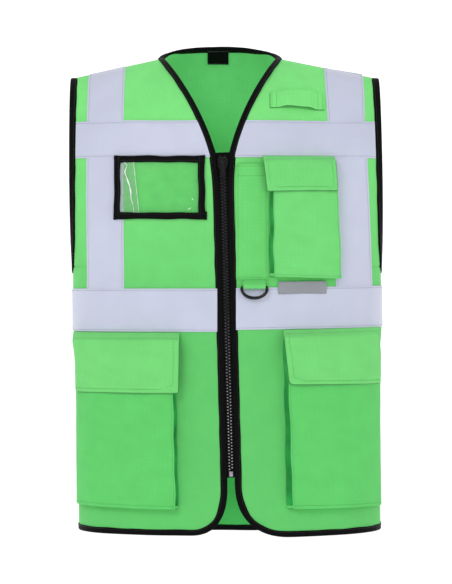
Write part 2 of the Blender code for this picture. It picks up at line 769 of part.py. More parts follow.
def build_mic_loop(green):
    x_from, x_to, z_top, z_bottom = 0.0574, 0.1290, -0.0520, -0.0730
    xs = arc_columns(True, (z_top + z_bottom) / 2, x_from, x_to, 14)
    top = []
    bottom = []
    for r in range(3):
        z = z_top + (z_bottom - z_top) * r / 2
        upper = []
        lower = []
        for x in xs:
            inside = min(x - x_from - 0.007, x_to - 0.007 - x) / 0.018
            lift = 0.0010 + 0.0125 * smooth(inside)
            upper.append(body(True, x, z, lift + 0.0008))
            lower.append(body(True, x, z, lift))
        top.append(upper)
        bottom.append(lower)
    sheet("mic_loop", top, bottom, green)


def build_chest_pockets(green, black, silver_grey, steel):
    pouch("phone_pocket_bag", True, (0.0560, 0.1500, -0.1500, -0.3060), (0.0160, 0.0160), green, 8, 3)
    pouch("pen_pocket", True, (0.0140, 0.0545, -0.1488, -0.3005), (0.0130, 0.0130), green, 4, 3)
    high = body(True, 0.0560, -0.1385, 0.0046 + 0.0005)
    end = body(True, 0.1430, -0.1385, 0.0046 + 0.0005)
    axis = hinge_empty("phone_flap_axis", (high + end) / 2)
    flap("phone_pocket_flap", (0.0520, 0.1490, -0.1380, -0.1850), (0.0200, 0.0200), green, 8, 0.002, axis)
    for name, lift, z, parent in (("phone_pocket_loop_strip", 0.0164, -0.1690, None),
                                  ("phone_pocket_hook_strip", 0.0182, -0.1690, axis)):
        grid = patch(True, 0.0850, 0.1170, z, z - 0.0100, 3, 1)
        laid(name, True, grid, lift, lift + 0.0009, black, parent=parent,
             origin=(0, 0, 0) if parent is None else parent.location)
    build_d_ring(black, green, steel)
    grid = patch(True, 0.0680, 0.1300, lambda s: -0.3085 + 0.0006 * s, lambda s: -0.3205 + 0.0006 * s, 4, 1)
    laid("side_label", True, grid, 0.0042, 0.0048, silver_grey)


def build_d_ring(black, green, steel):
    """A webbing tab folded round the straight bar of a D-ring."""
    bar_x = 0.0358
    bar_z = -0.3096
    bar_lift = 0.0078
    centre = body(True, bar_x, bar_z, bar_lift)
    # Side view of the tab: up the body, over the bar, round below it and back up behind.
    outer = [(-0.0030, 0.0080), (0.0006, 0.0080), (0.0034, 0.0050), (0.0036, 0.0), (0.0026, -0.0026),
             (0.0, -0.0036), (-0.0030, -0.0036)]
    inner = [(-0.0022, 0.0), (-0.0016, 0.0018), (0.0, 0.0026), (0.0018, 0.0019), (0.0026, 0.0),
             (0.0018, -0.0019), (0.0, -0.0026), (-0.0016, -0.0018)]
    built = bmesh.new()
    width = 0.0140
    loops = []
    for x in (bar_x - width, bar_x + width):
        y0 = body(True, bar_x, bar_z, bar_lift).y
        loops.append(([built.verts.new((x, y0 - out, bar_z + up)) for out, up in outer],
                      [built.verts.new((x, y0 - out, bar_z + up)) for out, up in inner]))
    for (o, i) in loops:
        edges = [built.edges.new((o[k], o[(k + 1) % len(o)])) for k in range(len(o))]
        edges += [built.edges.new((i[k], i[(k + 1) % len(i)])) for k in range(len(i))]
        bmesh.ops.triangle_fill(built, edges=edges, use_beauty=True)
    for a, b in ((loops[0][0], loops[1][0]), (loops[0][1], loops[1][1])):
        for k in range(len(a)):
            built.faces.new((a[k], a[(k + 1) % len(a)], b[(k + 1) % len(b)], b[k]))
    finish("d_ring_tab", built, green)
    half = 0.0165
    drop = 0.0155
    outline = [(-half, 0.0), (-half * 0.5, 0.0), (0.0, 0.0), (half * 0.5, 0.0), (half, 0.0)]
    for step in range(13):
        turn = math.pi * (step / 12)
        outline.append((half * math.cos(turn), -0.0035 - (drop - 0.0035) * math.sin(turn)))
    axis = hinge_empty("d_ring_axis", centre)
    ring_sweep("d_ring", centre, outline, 0.0019, 8, steel, axis)


def build_lower_pockets(green, black):
    for word, bag_corners, bag_rise, flap_corners, flap_lift in (
            ("right", (-0.1955, -0.0665, -0.3890, -0.5990), (0.0085, 0.0165),
             (-0.1965, -0.0645, -0.3725, -0.4500), (0.0126, 0.0214)),
            ("left", (0.0780, 0.2000, -0.3868, -0.6000), (0.0165, 0.0085),
             (0.0760, 0.2010, -0.3700, -0.4370), (0.0214, 0.0126))):
        pouch(word + "_pocket_bag", True, bag_corners, bag_rise, green, 11, 3)
        x_left, x_right, z_top, _ = flap_corners
        middle = body(True, (x_left + x_right) / 2, z_top, 0.0055)
        axis = hinge_empty(word + "_flap_axis", middle)
        flap(word + "_pocket_flap", flap_corners, flap_lift, green, 12, 0.010, axis)
        x_mid = (bag_corners[0] + bag_corners[1]) / 2
        share = 0.5
        lift = bag_rise[0] + (bag_rise[1] - bag_rise[0]) * share
        z = flap_corners[2] - 0.048
        for kind, above, parent in (("loop", lift + 0.0015, None), ("hook", lift + 0.0028, axis)):
            grid = patch(True, x_mid - 0.016, x_mid + 0.016, z, z - 0.010, 4, 1)
            laid(word + "_pocket_" + kind + "_strip", True, grid, above, above + 0.0008, black, parent=parent,
                 origin=(0, 0, 0) if parent is None else parent.location)


def build_neck_label(black):
    grid = patch(False, -0.0235, 0.0045, lambda s: 0.0105, lambda s: -0.0040, 3, 2)
    laid("neck_label", False, grid, -0.0030, -0.0024, black)


clear_scene()
looks = {
    "green": material("fluorescent_green_cloth", GREEN, 0.85),
    "deep": material("back_green_cloth", BACK_GREEN, 0.85),
    "silver": material("reflective_tape", SILVER, 0.5),
    "black": material("black_binding", BLACK, 0.7),
    "steel": material("black_plastic", (0.02, 0.02, 0.022), 0.25),
    "clear": material("clear_vinyl", (0.72, 0.80, 0.76), 0.08, 0.0, 0.25),
    "grey": material("grey_label_cloth", GREY, 0.6),
    "pin": material("grey_plastic", (0.35, 0.36, 0.42), 0.4),
}
build_panels(looks["green"], looks["deep"])
build_bindings(looks["black"])
build_tapes(looks["silver"])
build_zip(looks["black"], looks["pin"])
build_id_window(looks["black"], looks["clear"])
build_mic_loop(looks["green"])
build_chest_pockets(looks["green"], looks["black"], looks["grey"], looks["steel"])
build_lower_pockets(looks["green"], looks["black"])
build_neck_label(looks["black"])
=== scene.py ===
import bpy
import json
import math
import numpy as np
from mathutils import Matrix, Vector

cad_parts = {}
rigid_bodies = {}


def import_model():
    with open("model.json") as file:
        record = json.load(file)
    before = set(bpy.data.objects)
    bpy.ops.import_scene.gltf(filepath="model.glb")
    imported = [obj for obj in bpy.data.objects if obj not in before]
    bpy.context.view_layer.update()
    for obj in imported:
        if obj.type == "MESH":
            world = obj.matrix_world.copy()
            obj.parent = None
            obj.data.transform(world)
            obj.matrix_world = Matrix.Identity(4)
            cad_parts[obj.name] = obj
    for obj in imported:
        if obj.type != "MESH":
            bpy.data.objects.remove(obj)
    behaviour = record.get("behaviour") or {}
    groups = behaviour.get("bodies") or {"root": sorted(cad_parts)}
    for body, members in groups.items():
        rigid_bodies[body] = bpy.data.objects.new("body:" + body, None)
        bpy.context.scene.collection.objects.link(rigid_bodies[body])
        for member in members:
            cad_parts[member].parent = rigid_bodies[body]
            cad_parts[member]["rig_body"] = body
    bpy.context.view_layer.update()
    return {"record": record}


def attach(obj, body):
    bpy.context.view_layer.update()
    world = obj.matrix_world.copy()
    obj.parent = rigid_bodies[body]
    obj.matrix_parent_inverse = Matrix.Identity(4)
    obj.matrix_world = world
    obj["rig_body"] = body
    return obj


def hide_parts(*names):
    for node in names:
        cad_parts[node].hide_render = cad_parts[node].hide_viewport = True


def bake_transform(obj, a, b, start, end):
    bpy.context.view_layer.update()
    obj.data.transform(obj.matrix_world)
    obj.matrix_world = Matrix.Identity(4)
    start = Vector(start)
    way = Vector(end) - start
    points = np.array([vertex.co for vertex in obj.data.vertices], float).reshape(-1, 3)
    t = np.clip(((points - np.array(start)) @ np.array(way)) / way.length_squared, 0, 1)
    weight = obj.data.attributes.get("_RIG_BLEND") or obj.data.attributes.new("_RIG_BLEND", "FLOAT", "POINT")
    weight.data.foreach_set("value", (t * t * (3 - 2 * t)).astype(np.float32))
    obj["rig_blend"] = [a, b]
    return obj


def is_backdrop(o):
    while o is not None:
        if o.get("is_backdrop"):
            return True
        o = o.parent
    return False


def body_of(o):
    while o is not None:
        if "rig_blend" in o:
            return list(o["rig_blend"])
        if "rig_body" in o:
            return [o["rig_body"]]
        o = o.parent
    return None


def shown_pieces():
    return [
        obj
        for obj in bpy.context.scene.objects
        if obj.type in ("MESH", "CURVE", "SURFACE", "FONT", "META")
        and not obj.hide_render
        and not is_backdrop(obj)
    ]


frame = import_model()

RNG = np.random.default_rng(860)
MM = 0.001
SIDES = ((-1, "right"), (1, "left"))   # the wearer's right is at negative x

# ---------------------------------------------------------------- the body surface
# Metres. Pairs keyed 1 and -1: 1 is the front or the wearer's left, -1 the back or the wearer's right.
POWER = 2.6                            # of the superellipse that a level cut through the vest follows
HALF_WIDTH = 0.2085
ARMHOLE_EXTRA = 0.034                  # how much wider the surface is at the shoulders
SPREAD_HEIGHT = 0.14                   # over which it widens above the armpits
WAIST_TUCK = 0.0045
LEAN = 0.011                           # of the middle line, sideways per height
DEPTH = {1: 0.124, -1: 0.116}
SLOPE = {1: 0.19, -1: 0.12}            # height over which the shoulder turns down
NECK_X = -0.0095
NECK_HALF = 0.0775
NECK_RISE = 0.0205
NECK_SET_BACK = 0.0163
NECK_BOW = 0.0083                      # of the V neck's edges
SHOULDER_DROP = {-1: 0.028, 1: 0.0255}
SHOULDER_TIP = 0.2035
ARMHOLE_REACH = 0.208
ARMPIT_Z = -0.284
V_Z = -0.137                           # the foot of the V, where the zip starts
HEM_Z = -0.640
HEM_LIFT = {-1: 0.0025, 1: 0.0}
HEM_SWEEP = {-1: 0.001, 1: 0.0035}
BACK_HEM_Z = -0.649
BACK_HEM_SWEEP = 0.0122
CORNER = {-1: (0.048, 0.062), 1: (0.075, 0.075)}   # width and height of the fronts' cut-away corners
CORNER_POWER = 2.4
ZIP_TOP_X = -0.0060
ZIP_BOTTOM_X = 0.0053
ZIP_BOTTOM_Z = -0.560
EDGE_GAP = 0.0058                      # from the zip's middle to each front's edge
V_GAP = 0.0090                         # the same at the foot of the V
WAIST_TOP = -0.3125
WAIST_BOTTOM = -0.3695
CHEST_TOP = -0.0905
CHEST_BOTTOM = -0.1395
SOFT_LIFT = {1: 1.3 * MM, -1: 2.6 * MM}
FLUTE_LIFT = {1: 1.0 * MM, -1: 2.2 * MM}
FLUTE_PITCH = 0.085


def smooth(t):
    """A soft step from 0 to 1."""
    t = np.clip(t, 0.0, 1.0)
    return t * t * (3 - 2 * t)


def bump(d, width):
    """A soft hill, 1 high, at d = 0."""
    return np.exp(-(d / width) ** 2)


def unit(vectors):
    return vectors / np.linalg.norm(vectors, axis=-1, keepdims=True)


def level(value):
    """A height that is the same all along."""
    return lambda t: value + 0 * t


def run_of(points):
    """How far along a line of points each of them lies."""
    return np.concatenate([[0], np.cumsum(np.linalg.norm(np.diff(points, axis=0), axis=1))])


def at_run(at, run, points):
    """Points or directions read off a line at given lengths along it."""
    return np.stack([np.interp(at, run, points[:, k]) for k in range(3)], -1)


def centre_x(z):
    return LEAN * (-0.30 - z)


def half_width(z):
    up = np.clip((z - ARMPIT_Z) / SPREAD_HEIGHT, 0.0, 1.0)
    wide = HALF_WIDTH + ARMHOLE_EXTRA * (1 - (1 - up ** 1.2) ** 1.7)
    return wide - WAIST_TUCK * smooth((-0.365 - z) / 0.05)


def side_x(z, side):
    """The side seam."""
    return centre_x(z) + side * half_width(z)


def ridge(x, side=-1):
    """Height of the shoulder line: the neck's curve inside, falling shoulders outside."""
    out = np.abs(x - NECK_X)
    share = np.minimum(out / NECK_HALF, 1.0)
    arch = 0.62 * (1 - share ** 2.4) + 0.38 * (1 - share ** 14)
    inner = NECK_RISE * arch + NECK_SET_BACK * (1 - share ** 2)
    if side > 0:
        inner = 0.0078 * (1 - share ** 2) + 0.029 * smooth((1 - share) / 0.75)
    drop = np.where(x < NECK_X, SHOULDER_DROP[-1], SHOULDER_DROP[1])
    outer = -drop * (out - NECK_HALF) / (SHOULDER_TIP - NECK_HALF)
    return np.where(out < NECK_HALF, inner, outer)


class Waves:
    """Smooth seeded waviness over a surface, between about -1 and 1."""

    def __init__(self, wavelength, count=9, stretch=(1.0, 1.0)):
        angle = RNG.uniform(0, 2 * np.pi, count)
        scale = RNG.uniform(0.7, 1.5, count) * 2 * np.pi / wavelength
        self.a = np.cos(angle) * scale * stretch[0]
        self.b = np.sin(angle) * scale * stretch[1]
        self.c = RNG.uniform(0, 2 * np.pi, count)

    def __call__(self, x, z):
        total = 0.0
        for a, b, c in zip(self.a, self.b, self.c):
            total = total + np.sin(a * x + b * z + c)
        return total / len(self.a) ** 0.5 / 1.4


SOFT = {1: Waves(0.13, stretch=(1.2, 0.6)), -1: Waves(0.12, stretch=(1.5, 0.5))}
FINE = {1: Waves(0.045), -1: Waves(0.045)}
PUCKER = Waves(0.0085, 12)
PUCKER_SLOW = Waves(0.022, 9)


def folds(side, x, z):
    """How far the cloth stands off the smooth body: slack folds that die out at the zip and shoulders."""
    middle = smooth((np.abs(x) - 0.02) / 0.05) if side > 0 else 1.0
    low = smooth((-0.30 - z) / 0.3)
    high = smooth((z + 0.30) / 0.12) * smooth((-0.03 - z) / 0.05)
    deep = SOFT[side](x, z) * SOFT_LIFT[side] * (0.35 + 0.9 * low + 0.35 * high)
    fine = FINE[side](x, z) * 0.30 * MM
    flutes = np.sin(x * 2 * np.pi / FLUTE_PITCH + 0.8 + 2 * np.sin(z * 9)) * low * FLUTE_LIFT[side]
    return (deep + fine + flutes) * middle


def lay(side, x, z, lift=0.0, fold=True):
    """Points and normals on the cloth surface. x, z and lift are arrays of one shape."""
    x = np.asarray(x, float)
    z = np.asarray(z, float)
    wide = half_width(z)
    across = np.clip((x - centre_x(z)) / wide, -1.0, 1.0)
    section = (1 - np.abs(across) ** POWER) ** (1 / POWER)
    cosine = np.clip(1 - (ridge(x, side) - z) / SLOPE[side], 0.0, 1.0)
    sine = np.sqrt(1 - cosine * cosine)
    nx = np.sign(across) * np.abs(across) ** (POWER - 1) / wide * sine
    ny = -side * np.maximum(section, 1e-6) ** (POWER - 1) / DEPTH[side] * sine
    nz = cosine / SLOPE[side] + 0 * nx
    normal = unit(np.stack([nx, ny, nz], -1))
    y = -side * (DEPTH[side] * section * sine + 0.0001)
    place = np.stack([centre_x(z) + across * wide, y, z + 0 * x], -1)
    if fold:
        edge = smooth((HALF_WIDTH - np.abs(x - centre_x(z))) / 0.035) * smooth(sine / 0.5)
        lift = lift + folds(side, x, z) * edge
    return place + normal * np.asarray(lift)[..., None], normal


def placed(side, x, z, lift):
    """The x on the bare surface from which a lift brings a point out at the x wanted."""
    found = np.array(x, float)
    for _ in range(8):
        _, normal = lay(side, found, z, 0.0, False)
        found = 0.4 * found + 0.6 * (x - lift * normal[..., 0])
    return found


def shoulder_z(side, x, angle):
    """Height of the surface at an angle in degrees down from the shoulder line."""
    return ridge(x, side) - SLOPE[side] * (1 - np.cos(np.radians(angle)))


def arc_x(side, z, x_from, x_to, shares):
    """x values at given shares of the way round the body between two x values at one height."""
    wide, middle, depth = half_width(z), centre_x(z), DEPTH[side]
    ends = np.clip((np.array([x_from, x_to], float) - middle) / wide, -1, 1)
    turn = np.arcsin(np.sign(ends) * np.abs(ends) ** (POWER / 2))
    angle = np.linspace(turn[0], turn[1], 400)
    sine = np.sin(angle)
    x = middle + wide * np.sign(sine) * np.abs(sine) ** (2 / POWER)
    y = depth * np.abs(np.cos(angle)) ** (2 / POWER)
    run = np.concatenate([[0], np.cumsum(np.hypot(np.diff(x), np.diff(y)))])
    return np.interp(np.asarray(shares) * run[-1], run, x), run[-1]


def zip_x(z):
    return ZIP_TOP_X + (ZIP_BOTTOM_X - ZIP_TOP_X) * (V_Z - z) / (V_Z - ZIP_BOTTOM_Z)


def armhole_x(z, side):
    return np.where(z > ARMPIT_Z, centre_x(z) + side * ARMHOLE_REACH, side_x(z, side))


def front_edge(z, side):
    """The free edge of a front: bowed along the V neck, then down beside the zip."""
    neck = NECK_X + side * NECK_HALF
    foot = zip_x(V_Z) + side * V_GAP
    share = np.clip(z / V_Z, 0.0, 1.0)
    slant = neck + (foot - neck) * share - side * NECK_BOW * 4 * share * (1 - share)
    gap = EDGE_GAP + (V_GAP - EDGE_GAP) * smooth((z - V_Z + 0.045) / 0.045)
    return np.where(z > V_Z, slant, zip_x(np.maximum(z, ZIP_BOTTOM_Z)) + side * gap)


def hem_z(x, side):
    """The fronts' lower edge, with its rounded cut-away corner."""
    wide, high = CORNER[side]
    run = np.clip(side * (x - front_edge(HEM_Z, side)) / wide, 0.0, 1.0)
    drop = (1 - (1 - run) ** CORNER_POWER) ** (1 / CORNER_POWER)
    return HEM_Z + HEM_LIFT[side] + HEM_SWEEP[side] * (np.abs(x) / 0.2) ** 2 + high * (1 - drop)


def back_hem_z(x):
    return BACK_HEM_Z + BACK_HEM_SWEEP * (np.abs(x) / 0.2) ** 3


# ---------------------------------------------------------------- looks
def linear(rgb):
    shares = [value / 255 for value in rgb]
    return tuple(c / 12.92 if c <= 0.04045 else ((c + 0.055) / 1.055) ** 2.4 for c in shares)


def shade(rgb, factor):
    return tuple(min(max(c * factor, 0.0), 1.0) for c in rgb)


class Look:
    """A Principled material built from nodes, with helpers for patterns at real scale."""

    def __init__(self, name, roughness, **settings):
        self.material = bpy.data.materials.new(name)
        self.material.use_nodes = True
        self.nodes = self.material.node_tree.nodes
        self.links = self.material.node_tree.links
        self.shader = self.nodes["Principled BSDF"]
        self.shader.inputs["Roughness"].default_value = roughness
        for key, value in settings.items():
            self.shader.inputs[key.replace("_", " ")].default_value = value

    def feed(self, socket, value, colour=False):
        """Link a socket to another one, or set it."""
        if hasattr(value, "links"):
            self.links.new(value, socket)
        else:
            socket.default_value = (*value, 1) if colour else value

    def node(self, kind, settings=(), **inputs):
        """A node with its inputs fed; i0, i1 and so on stand for inputs without a name of their own."""
        made = self.nodes.new(kind)
        for key, value in settings:
            setattr(made, key, value)
        for key, value in inputs.items():
            numbered = key[0] == "i" and key[1:].isdigit()
            self.feed(made.inputs[int(key[1:]) if numbered else key.replace("_", " ")], value)
        return made

    def coords(self, kind="UV"):
        return self.node("ShaderNodeTexCoord").outputs[kind]

    def noise(self, scale, detail=3.0):
        inputs = {"Vector": self.coords("Object"), "Scale": scale, "Detail": detail, "Roughness": 0.55}
        return self.node("ShaderNodeTexNoise", **inputs).outputs["Fac"]

    def wave(self, scale, axis="X", kind="UV", distortion=0.0):
        settings = (("wave_type", "BANDS"), ("bands_direction", axis))
        inputs = {"Vector": self.coords(kind), "Scale": scale, "Distortion": distortion}
        return self.node("ShaderNodeTexWave", settings, **inputs).outputs["Fac"]

    def math(self, operation, a, b):
        return self.node("ShaderNodeMath", (("operation", operation),), i0=a, i1=b).outputs[0]

    def span(self, value, low, high, to_low=0.0, to_high=1.0):
        """Map a value from one range to another, held at its ends."""
        inputs = {"Value": value, "From_Min": low, "From_Max": high, "To_Min": to_low, "To_Max": to_high}
        return self.node("ShaderNodeMapRange", **inputs).outputs[0]

    def place(self, axis):
        """One coordinate of the garment, in metres."""
        return self.node("ShaderNodeSeparateXYZ", Vector=self.coords("Object")).outputs[axis]

    def tones(self, fac, base, low, high, at=(0.3, 0.7)):
        """A ramp from a darker to a lighter shade of one colour."""
        made = self.node("ShaderNodeValToRGB", Fac=fac)
        for element, position, factor in zip(made.color_ramp.elements, at, (low, high)):
            element.position = position
            element.color = (*shade(base, factor), 1)
        return made.outputs[0]

    def mix(self, fac, a, b):
        made = self.node("ShaderNodeMix", (("data_type", "RGBA"),), i0=fac)
        self.feed(made.inputs[6], a, True)
        self.feed(made.inputs[7], b, True)
        return made.outputs[2]

    def flecked(self, tone, pattern, amount, fleck):
        """The tone with a little of another colour where a pattern is high."""
        return self.mix(self.math("MULTIPLY", pattern, amount), tone, fleck)

    def bump(self, height, distance, strength=1.0, under=None):
        made = self.node("ShaderNodeBump", Height=height, Strength=strength, Distance=distance)
        if under is not None:
            self.links.new(under, made.inputs["Normal"])
        return made.outputs[0]

    def done(self, colour, normal=None, roughness=None):
        for value, key in ((colour, "Base Color"), (normal, "Normal"), (roughness, "Roughness")):
            if value is not None:
                self.feed(self.shader.inputs[key], value)
        return self.material


def bands(pitch):
    """Scale of a wave texture whose bands lie this many mm apart."""
    return 1000 / pitch / 20


def cloth_look(name, rgb, low_rgb=None, pitch=0.9, mottled=0.04):
    """Warp-knitted polyester: rows of small stitches, a faint mottle and a soft bloom.

    low_rgb is a darker tone further down the garment; on the inner face it is painted shade."""
    base = linear(rgb)
    look = Look(name, 0.85, Sheen_Weight=0.10, Sheen_Roughness=0.5, Specular_IOR_Level=0.2)
    look.shader.inputs["Sheen Tint"].default_value = (0.8, 1.0, 0.8, 1)
    warp = look.wave(bands(pitch) * 0.97, "X", distortion=2.5)
    weft = look.wave(bands(pitch) * 1.25, "Y", distortion=2.5)
    weave = look.math("MULTIPLY", warp, weft)
    mottle = look.noise(38.0, detail=4.0)
    grain = look.noise(900.0, detail=2.0)
    tone = look.tones(mottle, base, 1 - mottled, 1 + mottled)
    if low_rgb:
        depth = look.span(look.place("Z"), -0.08, -0.40)
        tone = look.mix(depth, tone, look.tones(mottle, linear(low_rgb), 0.96, 1.04))
    tone = look.flecked(tone, weave, 0.07, shade(base, 0.55))
    tone = look.flecked(tone, grain, 0.07, shade(base, 1.2))
    normal = look.bump(weave, 0.00010, 0.30)
    return look.done(tone, look.bump(grain, 0.00008, 0.4, normal))


def tape_look():
    """Silver retro-reflective tape: tiny glass beads on a smooth grey ground, a little scuffed."""
    base = linear((203, 207, 228))
    look = Look("reflective_silver", 0.42, Specular_IOR_Level=0.45, Sheen_Weight=0.15)
    beads = look.node("ShaderNodeTexVoronoi", Vector=look.coords(), Scale=2600.0).outputs["Distance"]
    tone = look.tones(look.noise(24.0), base, 0.965, 1.03)
    tone = look.flecked(tone, beads, 0.20, shade(base, 0.75))
    rough = look.span(look.noise(160.0, detail=5.0), 0.3, 0.7, 0.36, 0.50)
    return look.done(tone, look.bump(beads, 0.00005, 0.5), rough)


def ribbed_look(name, rgb, pitch=0.9, rough=0.62):
    """Folded black edge tape with fine ribs across it."""
    base = linear(rgb)
    look = Look(name, rough, Specular_IOR_Level=0.05, Sheen_Weight=0.01, Sheen_Roughness=0.4)
    ribs = look.wave(bands(pitch), "Y")
    fuzz = look.noise(700.0)
    tone = look.flecked(base, ribs, 0.3, shade(base, 1.5))
    tone = look.flecked(tone, fuzz, 0.3, shade(base, 1.8))
    normal = look.bump(ribs, 0.00018, 0.6)
    return look.done(tone, look.bump(fuzz, 0.00006, 0.4, normal))


def plastic_look(name, rgb, rough, spec=0.5, top_highlight_rgb=None):
    """Moulded plastic or enamel with faint handling marks. top_highlight_rgb is the darker tone that a painted
    highlight fades to higher up the garment.
    """
    base = linear(rgb)
    look = Look(name, rough, Specular_IOR_Level=spec)
    marks = look.noise(420.0, detail=5.0)
    tone = look.tones(marks, base, 0.8, 1.35, (0.35, 0.7))
    if top_highlight_rgb:
        tone = look.mix(look.span(look.place("Z"), -0.34, -0.50), linear(top_highlight_rgb), tone)
    scuffed = look.span(marks, 0.3, 0.7, rough * 0.8, rough * 1.4)
    return look.done(tone, look.bump(marks, 0.00004, 0.4), scuffed)


def thread_look(name, rgb):
    """Twisted sewing thread."""
    base = linear(rgb)
    look = Look(name, 0.6, Sheen_Weight=0.3)
    twist = look.wave(130.0, "DIAGONAL", "Object")
    tone = look.flecked(base, twist, 0.45, shade(base, 0.6))
    return look.done(tone, look.bump(twist, 0.00006, 0.5))


def vinyl_look(name, alpha, rgb):
    """Clear film, a little hazy in places."""
    base = linear(rgb)
    look = Look(name, 0.14, Alpha=alpha, Specular_IOR_Level=0.25)
    haze = look.noise(55.0, detail=5.0)
    tone = look.tones(haze, base, 0.9, 1.05, (0.35, 0.65))
    look.feed(look.shader.inputs["Alpha"], look.span(haze, 0.35, 0.7, alpha * 0.75, alpha * 1.4))
    return look.done(tone, look.bump(haze, 0.0006, 0.5))


GREEN = cloth_look("green_knit", (127, 231, 129), (98, 201, 107))
# Painted shade: the back's inner face, seen in the shaded inside of the vest, darkens further down.
SHADED_INSIDE = cloth_look("green_knit_inside_painted_shade", (127, 240, 145), (79, 202, 101))
FLAP = cloth_look("green_flap_knit", (118, 217, 120))
CHEST = cloth_look("green_chest_pocket_knit", (116, 217, 121))
PEN = cloth_look("green_pen_pocket_knit", (109, 213, 114))
BAG = cloth_look("green_pocket_knit", (98, 207, 107))
# Painted shade: a dark, blotchy green for the gussets' inner folds, standing in for the shadow there.
GUSSET_SHADE = cloth_look("green_gusset_painted_shade", (40, 152, 70), mottled=0.35)
SILVER = tape_look()
BINDING = ribbed_look("black_edge_tape", (10, 10, 11))
WEB = ribbed_look("black_zip_cloth", (12, 12, 13), 0.7)
LABEL = ribbed_look("black_woven_label", (9, 9, 10), 0.5, 0.6)
GREY_LABEL = cloth_look("grey_woven_label", (150, 153, 160), pitch=0.55)
TEETH = plastic_look("black_moulded_teeth", (15, 15, 17), 0.3, 0.25)
# Painted highlight: light grey caps on the tooth heads stand for the teeth's shine, fading to near black higher up
# the zip.
TOOTH_HIGHLIGHT = plastic_look("painted_tooth_highlights", (196, 192, 198), 0.25, top_highlight_rgb=(50, 50, 55))
SLIDER = plastic_look("black_enamel", (10, 10, 11), 0.25, 0.25)
PIN = plastic_look("grey_plastic", (164, 152, 168), 0.35)
RING = plastic_look("black_gloss_plastic", (10, 10, 12), 0.16, 0.35)
HOOK = ribbed_look("black_hook_tape", (26, 27, 26), 0.8, 0.9)
# Thread darker than the cloth: partly its own colour, partly painted shade for the groove the stitches sink into.
GROOVE_SHADED_THREAD = thread_look("green_thread_groove_shaded", (66, 172, 84))
# Painted shadow: a dark green for cords laid under flap and loop edges, where their shadow falls.
SEAM_SHADE = thread_look("deep_green_painted_shadow", (36, 128, 58))
GREY_THREAD = thread_look("grey_thread", (142, 149, 166))
BLACK_THREAD = thread_look("black_thread", (16, 16, 17))
FILM = vinyl_look("clear_vinyl", 0.11, (90, 200, 106))
FILM_STRIP = vinyl_look("clear_vinyl_double", 0.10, (200, 240, 205))
# Painted highlight: a near-white, nearly opaque colour for the bright lines along the film's folds and strip edge,
# and for its glints.
FILM_HIGHLIGHT = vinyl_look("vinyl_crease_painted_highlight", 0.95, (255, 255, 255))


# ---------------------------------------------------------------- mesh helpers
def in_scene(name, data):
    """An object made of this mesh, light or camera."""
    made = bpy.data.objects.new(name, data)
    bpy.context.scene.collection.objects.link(made)
    return made


def make(name, points, faces, material, uv=None, angle=40.0, caps=()):
    """A mesh object from points and quads; caps are triangles that close its ends."""
    mesh = bpy.data.meshes.new(name)
    points = np.asarray(points, np.float32).reshape(-1, 3)
    groups = [np.asarray(group, np.int32) for group in (faces, caps) if len(group)]
    corners = np.concatenate([group.ravel() for group in groups])
    sizes = np.concatenate([np.full(len(group), group.shape[1]) for group in groups])
    starts = np.concatenate([[0], np.cumsum(sizes)[:-1]]).astype(np.int32)
    mesh.vertices.add(len(points))
    mesh.vertices.foreach_set("co", points.ravel())
    mesh.loops.add(len(corners))
    mesh.loops.foreach_set("vertex_index", corners)
    mesh.polygons.add(len(sizes))
    mesh.polygons.foreach_set("loop_start", starts)
    mesh.polygons.foreach_set("use_smooth", np.ones(len(sizes), bool))
    mesh.update(calc_edges=True)
    if uv is not None:
        layer = mesh.uv_layers.new(name="UVMap")
        layer.data.foreach_set("uv", np.asarray(uv, np.float32).reshape(-1, 2)[corners].ravel())
    mesh.validate()
    mesh.set_sharp_from_angle(angle=math.radians(angle))
    mesh.materials.append(material)
    return in_scene(name, mesh)


def outward(obj, points, faces):
    """Turn the faces round if the closed mesh is inside out."""
    volume = 0.0
    for corners in ((0, 1, 2), (0, 2, 3)):
        tri = points[faces[:, corners]]
        volume += np.einsum("ij,ij->i", tri[:, 0], np.cross(tri[:, 1], tri[:, 2])).sum()
    if volume < 0:
        obj.data.flip_normals()


def lengths_uv(grid):
    """Real lengths across and down a grid of points, in metres."""
    across = np.linalg.norm(np.diff(grid, axis=1), axis=2).cumsum(axis=1)
    down = np.linalg.norm(np.diff(grid, axis=0), axis=2).cumsum(axis=0)
    return np.stack([np.pad(across, ((0, 0), (1, 0))), np.pad(down, ((1, 0), (0, 0)))], -1)


def slab(name, top, bottom, material, uv=None, angle=40.0):
    """A closed sheet between two grids of points."""
    rows, columns = top.shape[:2]
    index = np.arange(rows * columns).reshape(rows, columns)
    a, b, c, d = index[:-1, :-1], index[:-1, 1:], index[1:, 1:], index[1:, :-1]
    upper = np.stack([a, b, c, d], -1).reshape(-1, 4)
    lower = np.stack([a, d, c, b], -1).reshape(-1, 4) + rows * columns
    ring = np.concatenate([index[0, :-1], index[:-1, -1], index[-1, :0:-1], index[:0:-1, 0]])
    after = np.roll(ring, -1)
    rim = np.stack([ring, ring + rows * columns, after + rows * columns, after], -1)
    faces = np.concatenate([upper, lower, rim])
    points = np.concatenate([top.reshape(-1, 3), bottom.reshape(-1, 3)])
    flat = lengths_uv(top) if uv is None else uv
    made = make(name, points, faces, material, np.concatenate([flat.reshape(-1, 2)] * 2), angle)
    outward(made, points, faces)
    return made


def layer(name, node, side, x, z, high, low, material, uv=None):
    """A closed sheet between two heights over the body, in place of a CAD node.

    Gives the piece, its two grids of points, the outer one first, and the normals."""
    upper, normal = lay(side, x, z, high)
    lower, _ = lay(side, x, z, low)
    made = slab(name, upper, lower, material, uv)
    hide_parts(node)
    return made, upper, lower, normal


def second_look(obj, faces, material):
    """Give some faces of a piece another material."""
    obj.data.materials.append(material)
    index = np.zeros(len(obj.data.polygons), np.int32)
    index[faces] = 1
    obj.data.polygons.foreach_set("material_index", index)


